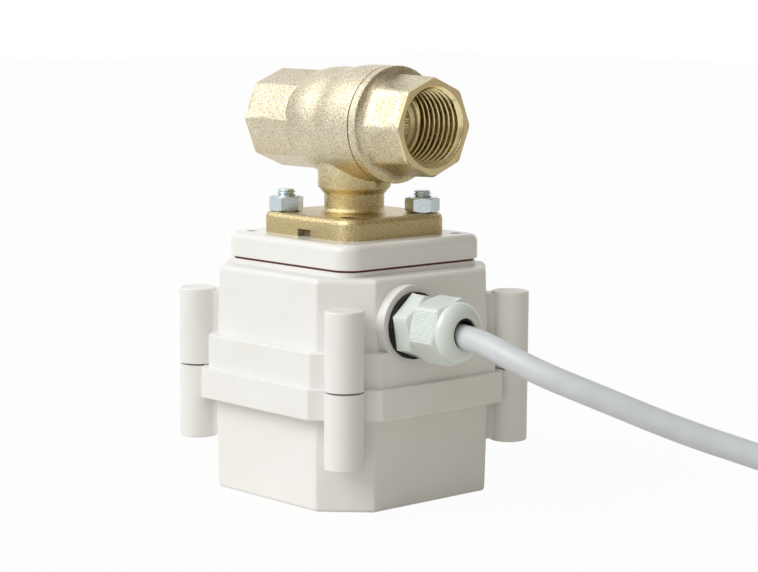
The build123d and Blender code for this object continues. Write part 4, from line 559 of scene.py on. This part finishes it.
# %% Thread recipe
def thread_recipe():
    """A threaded sleeve along +Z, cut inside for a port or outside for a bolt."""
    floats = ("inside", "near", "far", "pitch", "length", "wall", "cone")
    recipe = Recipe("thread", False, **dict.fromkeys(floats, "Float"), rows="Int", columns="Int")
    graph, value = recipe.graph, recipe.value
    rows, columns = value("rows"), value("columns")
    net = graph.node(
        "GeometryNodeMeshGrid", sockets={"Vertices X": rows + 3.0, "Vertices Y": columns + 1.0}
    )
    index = graph.node("GeometryNodeInputIndex").out(0)
    row = (index / (columns + 1.0)).math("FLOOR")
    column = index - row * (columns + 1.0)
    share = ((row - 1.0) / (rows - 1.0)).maximum(0.0).minimum(1.0)
    before_last = 1.0 - row.above(rows + 1.5)
    depth = share * before_last * value("length")
    angle = column / columns * math.tau
    phase = (depth / value("pitch") - angle / math.tau).math("FRACT")
    ridge = ((phase - 0.5).absolute() * 2.0).step(0.14, 0.86)
    near, far, cone, inside = value("near"), value("far"), value("cone"), value("inside")
    plain = far - ridge * (far - near)
    cut = plain.maximum(cone - depth) * inside + plain.minimum(cone + depth) * (1.0 - inside)
    on_wall = (0.5 - row).above(0.0).maximum(row.above(rows + 0.5))
    radius = cut * (1.0 - on_wall) + value("wall") * on_wall
    spot = graph.point(radius * angle.math("COSINE"), radius * angle.math("SINE"), depth)
    rolled = graph.node(
        "GeometryNodeSetPosition", sockets={"Geometry": net.out(0), "Position": spot}
    )
    closed = graph.node(
        "GeometryNodeMergeByDistance", sockets={"Geometry": rolled.out(0), "Distance": 1e-6}
    )
    recipe.end(closed.out(0))
    return recipe


thread = thread_recipe()
print("thread nodes:", len(thread.tree.nodes))

# %% [markdown]
# Forms are easiest to make upright, along +Z. Each is then turned to its axis and put in
# place, and the meshes of one piece are joined, merged and given outward normals. Edges
# sharper than a given angle stay crisp, and the normals elsewhere lean towards the larger
# faces, so that flats look flat beside a rounding.

# %% Placing and joining
def put(mesh, origin, way, turn=0.0):
    """Moves a mesh made along +Z to an origin in millimetres, pointing a given way."""
    spin = Matrix.Rotation(math.radians(turn), 4, "Z")
    aim = Vector(way).to_track_quat("Z", "Y").to_matrix().to_4x4()
    mesh.transform(Matrix.Translation(Vector(origin) * MM) @ aim @ spin)
    return mesh


def joined(name, meshes, finish, sharp=35.0):
    """One piece from several closed meshes, with faces outward and crisp edges kept."""
    built = bmesh.new()
    for mesh in meshes:
        built.from_mesh(mesh)
        bpy.data.meshes.remove(mesh)
    bmesh.ops.remove_doubles(built, verts=built.verts, dist=2e-7)
    bmesh.ops.recalc_face_normals(built, faces=built.faces)
    whole = bpy.data.meshes.new(name)
    built.to_mesh(whole)
    built.free()
    whole.materials.clear()
    whole.materials.append(finish.material)
    whole.polygons.foreach_set("material_index", [0] * len(whole.polygons))
    whole.shade_smooth()
    whole.set_sharp_from_angle(angle=math.radians(sharp))
    piece = bpy.data.objects.new(name, whole)
    bpy.context.scene.collection.objects.link(piece)
    weigh = piece.modifiers.new("weigh", "WEIGHTED_NORMAL")
    weigh.keep_sharp = True
    evaluated = piece.evaluated_get(bpy.context.evaluated_depsgraph_get())
    piece.data = bpy.data.meshes.new_from_object(evaluated)
    piece.modifiers.remove(weigh)
    piece.data.name = name
    return piece


print("joining ready")

# %% [markdown]
# A solid that needs a change is copied first, because the frame itself stays as it is. The
# copy is merged, since a solid's mesh arrives as loose triangles, and a rule moves its
# points. A finished piece rides on the housing, and the solids it stands for are hidden.

# %% Copies of solids, and handing over
def solid_copy(node_name, reshape):
    """A merged copy of a solid's mesh, with each point passed through reshape."""
    built = bmesh.new()
    built.from_mesh(solids[node_name].data)
    bmesh.ops.remove_doubles(built, verts=built.verts, dist=1e-7)
    for vertex in built.verts:
        vertex.co = Vector(reshape(vertex.co / MM)) * MM
    mesh = bpy.data.meshes.new(node_name + "_copy")
    built.to_mesh(mesh)
    built.free()
    return mesh


def hand_over(piece, slot, *nodes):
    """The piece rides on the housing and stands for these solids."""
    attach(piece, "housing")
    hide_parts(*nodes)
    if piece.type == "MESH":
        print(piece.name, "faces:", len(piece.data.polygons))


print("copying ready")

# %% [markdown]
# The ports are tapped with a parallel half-inch pipe thread: 14 turns an inch, which is 1.814
# mm from ridge to ridge, between radii of 9.32 and 10.48 mm. The solid has a plain bore, so
# its copy gets a wider bore, and a sleeve with the thread and the sloped mouth fills it.

# %% Valve body, end connector and pipe threads
pipe_near, pipe_far, pipe_pitch = 9.32, 10.48, 1.814
bore_wide, sleeve_back, mouth_wide = 10.62, 10.7, 10.5
left_end, right_end = -29.6, 30.2
left_foot, right_foot = -15.5, 15.0
rows_per_turn = 14
bury = 0.02


def widened(spot):
    """Moves the plain bore of the two tapped lengths outward."""
    rise = spot.z - port_height
    out = math.hypot(spot.y, rise)
    in_tap = spot.x < left_foot + 0.01 or spot.x > right_foot - 0.01
    if in_tap and pipe_near - 0.05 < out < 10.2:
        wider = bore_wide / out
        return (spot.x, spot.y * wider, port_height + rise * wider)
    return spot


def port_thread(end, foot):
    """The tapped sleeve of one port."""
    length = abs(end - foot) - bury
    sleeve = thread.run(
        inside=1.0,
        near=pipe_near * MM,
        far=pipe_far * MM,
        pitch=pipe_pitch * MM,
        length=length * MM,
        wall=sleeve_back * MM,
        cone=mouth_wide * MM,
        rows=round(length / pipe_pitch * rows_per_turn),
        columns=96,
        finish=tapped_brass.material,
    )
    inward = 1.0 if end < 0 else -1.0
    return put(sleeve, (end + inward * bury, 0, port_height), (inward, 0, 0))


brass_pieces = [
    ("cast_body", "valve_body", None),
    ("cast_end", "end_connector", None),
    ("pipe_thread_left", "valve_body", (left_end, left_foot)),
    ("pipe_thread_right", "end_connector", (right_end, right_foot)),
]
for name, node, port in brass_pieces:
    if port:
        piece = joined(name, [port_thread(*port)], tapped_brass, sharp=60.0)
        hand_over(piece, "machined_brass", node)
    else:
        piece = joined(name, [solid_copy(node, widened)], cast_brass, sharp=28.0)
        hand_over(piece, "cast_brass", node)

# %% [markdown]
# Two M5 bolts come up through the flange. Their ends stand out of the nuts and show the
# thread, 0.8 mm from ridge to ridge. The solid's end is drawn in a little, and a threaded
# sleeve goes round it. Each bolt's row gives its place and how far its nut is turned.

# %% Flange bolts
bolt_spots = [(-12.73, -12.73, 3.0), (12.73, 12.73, -13.5)]
bolt_top, bolt_bare_from, bolt_draw = 79.15, 78.0, 0.78


def drawn_in(spot):
    """Narrows the end of each bolt, so that its thread can stand round it."""
    if spot.z < bolt_bare_from:
        return spot
    x, y, _ = min(bolt_spots, key=lambda bolt: math.hypot(spot.x - bolt[0], spot.y - bolt[1]))
    return (x + (spot.x - x) * bolt_draw, y + (spot.y - y) * bolt_draw, spot.z)


bolt_meshes = [solid_copy("flange_bolts", drawn_in)]
for x, y, _ in bolt_spots:
    sleeve = thread.run(
        inside=0.0,
        near=2.0 * MM,
        far=2.45 * MM,
        pitch=0.8 * MM,
        length=2.3 * MM,
        wall=1.2 * MM,
        cone=2.05 * MM,
        rows=40,
        columns=40,
        finish=zinc.material,
    )
    bolt_meshes.append(put(sleeve, (x, y, bolt_top - bury), (0, 0, -1)))
hand_over(joined("bolts_with_thread", bolt_meshes, zinc), "zinc_steel", "flange_bolts")

# %% [markdown]
# The lathe helper spins an outline of (height, radius) pairs round +Z. An outline that starts
# and ends on the axis is a full body, and any other outline closes on itself as a ring.

# %% Lathe
def lathe(outline, steps=72):
    """A mesh turned from (height, radius) pairs in millimetres, along +Z."""
    built = bmesh.new()
    rows = []
    for height, radius in outline:
        row = []
        for step in range(steps if radius > 0 else 1):
            angle = math.tau * step / steps
            spot = (radius * math.cos(angle), radius * math.sin(angle), height)
            row.append(built.verts.new(Vector(spot) * MM))
        rows.append(row)
    pairs = list(zip(rows, rows[1:]))
    if outline[0][1] > 0 or outline[-1][1] > 0:
        pairs.append((rows[-1], rows[0]))
    for lower, upper in pairs:
        for step in range(steps):
            after = (step + 1) % steps
            ring = [lower[step % len(lower)], lower[after % len(lower)]]
            ring += [upper[after % len(upper)], upper[step % len(upper)]]
            unique = list(dict.fromkeys(ring))
            if len(unique) > 2:
                built.faces.new(unique)
    mesh = bpy.data.meshes.new("turned")
    built.to_mesh(mesh)
    built.free()
    return mesh


print("lathe ready")

# %% [markdown]
# A nut starts as a round blank with sloped rims. Cutting six flats into it gives the curved
# edges that every real nut has, where a flat meets the slope. The tree does just that: it
# pulls each point in to the nearest flat, and leaves alone what is already inside it.

# %% Hexagon recipe
def hexagon_recipe():
    """Cuts six flats into a round blank along +Z."""
    recipe = Recipe("hexagon", True, flats="Float")
    graph = recipe.graph
    across, upward, height = graph.split(graph.node("GeometryNodeInputPosition").out(0))
    reach = (across * across + upward * upward) ** 0.5
    bearing = upward.math("ARCTAN2", across)
    sector = math.tau / 6
    wedge = bearing.math("FLOORED_MODULO", sector) - sector / 2
    flat = recipe.value("flats") * 0.5 / wedge.math("COSINE")
    pull = (flat / reach.maximum(1e-6)).minimum(1.0)
    spot = graph.point(across * pull, upward * pull, height)
    sockets = {"Geometry": recipe.entry.out("Blank"), "Position": spot}
    recipe.end(graph.node("GeometryNodeSetPosition", sockets=sockets).out(0))
    return recipe


hexagon = hexagon_recipe()
print("hexagon nodes:", len(hexagon.tree.nodes))

# %% [markdown]
# The nuts are 8 mm across their flats and 4 mm high. Their outline has a slope of 30 degrees
# at both rims, in small steps, so that the flats cut it in a smooth curve.

# %% Hexagon nuts
nut_foot, nut_high, nut_flats, nut_hole = 73.35, 4.0, 8.0, 2.5
slope_steps, slope_step, slope_rise = 12, 0.06, 1.73


def hex_outline(flats, length, hole, rim=0.97):
    """The blank of a hexagon: bore, sloped rim, side, sloped rim."""
    corner = flats / math.sqrt(3)
    slope = []
    for number in range(slope_steps):
        high = number * slope_step
        slope.append((high, min(flats / 2 * rim + high * slope_rise, corner)))
    back = [(length - high, radius) for high, radius in reversed(slope)]
    return [(0.0, hole), *slope, *back, (length, hole)]


nut_meshes = []
for x, y, turn in bolt_spots:
    blank = lathe(hex_outline(nut_flats, nut_high, nut_hole))
    nut = hexagon.run(blank=blank, flats=nut_flats * MM, finish=zinc.material)
    nut_meshes.append(put(nut, (x, y, nut_foot), (0, 0, 1), turn))
hand_over(joined("hexagon_nuts", nut_meshes, zinc, sharp=30.0), "zinc_steel", "flange_nuts")

# %% [markdown]
# The gland's nut has fine grip ribs on every second flat. Each flat's ribs are thin bars in
# a row, made as instances on a line of points. That row is then an instance itself, turned
# by a third of a turn for each of three flats.

# %% Rib recipe
def rib_recipe():
    """Rows of thin bars on three flats round +Z."""
    floats = ("thick", "long", "gap", "flats", "middle")
    recipe = Recipe("grip_ribs", False, **dict.fromkeys(floats, "Float"), count="Int")
    graph, value = recipe.graph, recipe.value
    sockets = {"Vertices": 8, "Radius": value("thick"), "Depth": value("long")}
    bar = graph.node("GeometryNodeMeshCylinder", sockets=sockets)
    width = value("gap") * (value("count") - 1.0)
    sockets = {
        "Count": value("count"),
        "Start Location": graph.point(value("flats") * 0.5, width * -0.5, value("middle")),
        "Offset": graph.point(y=value("gap")),
    }
    line = graph.node("GeometryNodeMeshLine", sockets=sockets)
    sockets = {"Points": line.out(0), "Instance": bar.out(0)}
    one_flat = graph.node("GeometryNodeInstanceOnPoints", sockets=sockets)
    hubs = graph.node("GeometryNodeMeshLine", sockets={"Count": 3, "Offset": (0, 0, 0)})
    number = graph.node("GeometryNodeInputIndex").out(0)
    spin = graph.point(z=number * (math.tau / 3))
    sockets = {"Points": hubs.out(0), "Instance": one_flat.out(0), "Rotation": spin}
    recipe.end(graph.node("GeometryNodeInstanceOnPoints", sockets=sockets).out(0))
    return recipe


rib = rib_recipe()
print("rib nodes:", len(rib.tree.nodes))

# %% [markdown]
# The gland is moulded nylon: a hexagon that screws into the boss, and a domed nut that
# squeezes a rubber sleeve round the cord. The nut's dome is turned together with its blank,
# and the flats are cut afterwards, so they run out into the dome in curves.

# %% Gland nut
gland_line = (-9.47, 47.5)
gland_nut_foot, gland_nut_long, gland_nut_flats, gland_nut_bore = 40.0, 9.0, 15.4, 6.25
dome = [(0.0, 7.7), (0.35, 7.68), (0.7, 7.6), (1.1, 7.45), (1.5, 7.2), (1.9, 6.85)]
dome += [(2.3, 6.4), (2.6, 5.95), (2.85, 5.45), (3.0, 4.95), (3.0, 4.3), (2.93, 4.1)]
dome += [(2.78, 3.92), (2.5, 3.8)]


def along_cord(mesh, foot, turn=0.0):
    """Puts a mesh on the gland's line, with its foot at x in millimetres."""
    return put(mesh, (foot, *gland_line), (1, 0, 0), turn)


nut_outline = hex_outline(gland_nut_flats, gland_nut_long, gland_nut_bore, rim=0.985)[:-1]
nut_outline += [(gland_nut_long + high, radius) for high, radius in dome]
nut_outline += [(gland_nut_long, 3.8), (7.1, gland_nut_bore)]
domed_nut = hexagon.run(
    blank=lathe(nut_outline, steps=96), flats=gland_nut_flats * MM, finish=nylon.material
)
ribs = rib.run(
    thick=0.22 * MM,
    long=7.6 * MM,
    gap=0.54 * MM,
    count=14,
    flats=(gland_nut_flats - 0.06) * MM,
    middle=gland_nut_long / 2 * MM,
    finish=nylon.material,
)
domed_nut = along_cord(domed_nut, gland_nut_foot, turn=15.0)
ribs = along_cord(ribs, gland_nut_foot, turn=45.0)
ribbed = joined("gland_nut_ribbed", [domed_nut, ribs], nylon, sharp=30.0)
hand_over(ribbed, "gland_nylon", "gland_nut")

# %% [markdown]
# The gland's base has a threaded shank in the boss, a hexagon outside and a neck that the
# nut screws on. Only the hexagon's outer rim is sloped. The rubber sleeve lies in the neck
# and shows as a black ring inside the dome's hole.

# %% Gland base and rubber sleeve
base_foot, base_flats, base_corner, base_long = 34.25, 15.0, 8.66, 5.3
base_bore, base_seat, shank_long, neck_long = 3.6, 5.15, 12.55, 12.55
base_rim = hex_outline(base_flats, base_long, base_bore, rim=0.95)[1:-1]
base_rim = [(high, radius) for high, radius in base_rim if high > 2.0]
base_outline = [(-shank_long, base_bore), (-shank_long, 5.6), (-12.2, 5.95), (0.0, 5.95)]
base_outline += [(0.0, base_corner), *base_rim, (base_long, 6.2), (neck_long - 0.5, 6.2)]
base_outline += [(neck_long, 5.7), (neck_long, base_seat), (4.25, base_seat)]
base_outline += [(4.25, base_bore)]
base = hexagon.run(blank=lathe(base_outline), flats=base_flats * MM, finish=nylon.material)
base = joined("gland_base", [along_cord(base, base_foot, turn=40.0)], nylon, sharp=30.0)
hand_over(base, "gland_nylon", "gland_body")
sleeve_foot = 38.5
sleeve_outline = [(0.0, 3.15), (0.0, 5.0), (0.15, 5.1), (8.0, 5.1), (8.3, 3.75)]
sleeve_outline += [(12.7, 3.72), (12.9, 3.6), (12.9, 3.3), (12.7, 3.15)]
rubber = along_cord(lathe(sleeve_outline), sleeve_foot)
rubber = joined("gland_sleeve", [rubber], black_rubber, sharp=40.0)
hand_over(rubber, "seal_rubber", "gland_insert")

# %% [markdown]
# The cord is a round three-core cable, 6.2 mm thick, with a smooth light grey sheath. It is
# one smooth spline: straight out of the gland, down in a long curve, and then round a
# neat coil on the floor that holds the rest of the metre. A NURBS spline of order 3 runs
# smoothly inside its control points, so a few points are enough, and a coil is only more
# points of the same spline. Such a spline cuts inside its corners, so the coil's points lie
# a little further out than the turns.

# %% Cord route
cord_r = 3.1 * MM
free_route = [
    (33.05, -9.47, 47.5),
    (53.3, -9.47, 47.5),
    (72.8, -8.6, 41.4),
    (89.0, 0.4, 35.1),
    (104.5, 12.0, 27.9),
    (118.5, 22.7, 22.8),
    (136.2, 34.19, 16.2),
    (155.495, 43.054, 9.82),
    (172.335, 46.023, 9.82),
]
coil_centre = (185.3, 8.2)
coil_outer, coil_pitch, coil_layer_turns, coil_climb_turns = 39.5, 6.75, 1.75, 0.5
coil_top, coil_bottom = 9.82, 3.12
points_per_turn = 16
heading = 10.0
cord_end_long = 6.2


def coil_points():
    """Points round the coil: in along the top layer, down, and out along the bottom one."""
    total = 2 * coil_layer_turns + coil_climb_turns
    count = round(total * points_per_turn)
    spread = 1 / math.cos(math.pi / points_per_turn) ** 2 * 0.5 + 0.5
    points = []
    for number in range(1, count):
        turned = total * number / count
        wound = min(turned, total - turned)
        climbed = min(max((turned - coil_layer_turns) / coil_climb_turns, 0.0), 1.0)
        eased = climbed * climbed * (3 - 2 * climbed)
        radius = (coil_outer - coil_pitch * wound) * spread
        angle = math.radians(heading + 90 - 360 * turned)
        x = coil_centre[0] + radius * math.cos(angle)
        y = coil_centre[1] + radius * math.sin(angle)
        points.append((x, y, coil_top - (coil_top - coil_bottom) * eased))
    return points


def past_coil(along, side, height):
    """A point past the coil's end, along its heading, to its left, above the floor."""
    turn = math.radians(heading)
    x = coil_centre[0] - coil_outer * math.sin(turn)
    y = coil_centre[1] + coil_outer * math.cos(turn)
    x += along * math.cos(turn) - side * math.sin(turn)
    y += along * math.sin(turn) + side * math.cos(turn)
    return (x, y, height)


cord_route = [*free_route, *coil_points()]
cord_route += [past_coil(0, 0, coil_bottom), past_coil(cord_end_long, 0, coil_bottom)]
print("cord control points:", len(cord_route))

# %% [markdown]
# The cord stays a curve with a round bevel, which keeps its section even along every bend.
# Its ends are capped, so the tube is closed. The sheath is a smooth grey with a satin sheen
# and the slight waviness of an extruded skin.

# %% Tube along a spline
def smooth_tube(name, route, radius, finish, sides=8):
    """A round tube along a NURBS spline with these control points, in millimetres."""
    curve = bpy.data.curves.new(name, "CURVE")
    curve.dimensions = "3D"
    curve.bevel_depth = radius
    curve.bevel_resolution = sides
    curve.resolution_u = 10
    curve.use_fill_caps = True
    spline = curve.splines.new("NURBS")
    spline.points.add(len(route) - 1)
    for point, spot in zip(spline.points, route):
        point.co = (*(Vector(spot) * MM), 1.0)
    spline.order_u = 3
    spline.use_endpoint_u = True
    curve.materials.append(finish.material)
    piece = bpy.data.objects.new(name, curve)
    bpy.context.scene.collection.objects.link(piece)
    return piece


sheath = Finish("cord_sheath", {"Specular IOR Level": 0.45})
sheath.tone(sheath.noise(180.0, 3.0), (0.585, 0.62, 0.64), (0.64, 0.675, 0.695))
sheath.link("Roughness", sheath.noise(900.0, 3.0) * 0.2 + 0.3)
sheath.bump(sheath.noise(260.0, 2.0), 0.00006, 0.4)
cord = smooth_tube("cord", cord_route, cord_r, sheath)
print("cord radius", cord_r, "m")

# %% [markdown]
# At the far end the sheath is stripped back, and three cores fan out on the floor, each with
# a crimped metal sleeve. They are tubes of the same kind, only thinner. A core's points give
# the way past the cord's end, the way to the side, and the height above the cord's middle,
# or None where the core lies on the floor.

# %% Cores
core_r = 0.9 * MM
core_floor = 1.3
core_finishes = {
    "core_brown": dull("core_brown", (0.13, 0.05, 0.025), (0.18, 0.075, 0.04), 0.3),
    "core_blue": dull("core_blue", (0.03, 0.12, 0.40), (0.05, 0.17, 0.50), 0.3),
    "core_green": dull("core_green", (0.06, 0.30, 0.06), (0.10, 0.40, 0.10), 0.3),
}
core_routes = {
    "core_brown": [(0, 0, 1.15), (4, 0, 1.15), (15, -0.8, None), (26, -3.4, None)],
    "core_blue": [(0, -1.0, -0.6), (3, -1.0, -0.6), (12, -3.6, None), (25, -9.6, None)],
    "core_green": [(0, 1.0, -0.6), (3, 1.0, -0.6), (12, 2.3, None), (24, 3.0, None)],
}
core_pieces = []
core_tips = []
for name, route in core_routes.items():
    points = []
    for along, side, rise in route:
        height = core_floor if rise is None else coil_bottom + rise
        points.append(past_coil(cord_end_long + along, side, height))
    core_pieces.append(smooth_tube(name, points, core_r, core_finishes[name], sides=5))
    tip = Vector(points[-1])
    core_tips.append((tip, (tip - Vector(points[-2])).normalized()))
print("cores:", [piece.name for piece in core_pieces])

# %% [markdown]
# The crimped sleeves are turned forms: a wide collar that holds the insulation, and a thin
# tube over the bare strands. Each is a short outline spun round its core's axis.

# %% Core sleeves
crimp_outline = [(-4.0, 0.0), (-4.0, 1.12), (-3.8, 1.2), (0.6, 1.2), (1.5, 0.95)]
crimp_outline += [(1.5, 0.65), (7.7, 0.65), (8.0, 0.5), (8.0, 0.0)]
tip_meshes = [put(lathe(crimp_outline, steps=24), spot, way) for spot, way in core_tips]
sleeves = joined("core_sleeves_turned", tip_meshes, zinc)
print("sleeve faces:", len(sleeves.data.polygons))

# %% [markdown]
# The cores, their sleeves and the cord ride on the housing, and the solids that they stand
# for are hidden: the cable, its coil, the core ends and their sleeves.

for piece in core_pieces:
    hand_over(piece, "core_insulation", "core_ends")
hand_over(sleeves, "zinc_steel", "core_sleeves")
hand_over(cord, "cord_sheath", "cable", "cable_coil")

# %% [markdown]
# Every solid that stays as it is gets its finish by name. Most of these sit inside the
# housing or the valve, and show only when the model is taken apart, but they are finished
# like the rest.

# %% Finishes for the solids
zinc_names = "cover_screws adapter_screws gear_key gear_pins gearhead gearmotor gear_plate"
zinc_names += " gear_plate_screws motor_screws cam_screw switch_screws closed_lever"
zinc_names += " open_lever board_screws"
names_by_finish = {
    housing_white: "actuator_cap actuator_body",
    plate_white: "adapter_plate",
    turned_brass: "stem output_shaft motor_pinion",
    chrome: "ball",
    zinc: zinc_names,
    black_rubber: "housing_seal connector_seal stem_seals shaft_seal gland_washer",
    red_gasket: "adapter_gasket",
    black_plastic: "shaft_bush limit_cams limit_switches capacitor",
    seat_white: "seat_rings thrust_washer",
    gear_white: "output_gear second_gear first_gear",
    board_green: "circuit_board",
    terminal_green: "terminal_block",
    nylon: "gland_locknut",
    sheath: "cord_tail",
    core_finishes["core_blue"]: "inner_cores",
}
for finish, names in names_by_finish.items():
    for name in names.split():
        solids[name].data.materials.clear()
        solids[name].data.materials.append(finish.material)
print("painted:", sum(len(names.split()) for names in names_by_finish.values()))
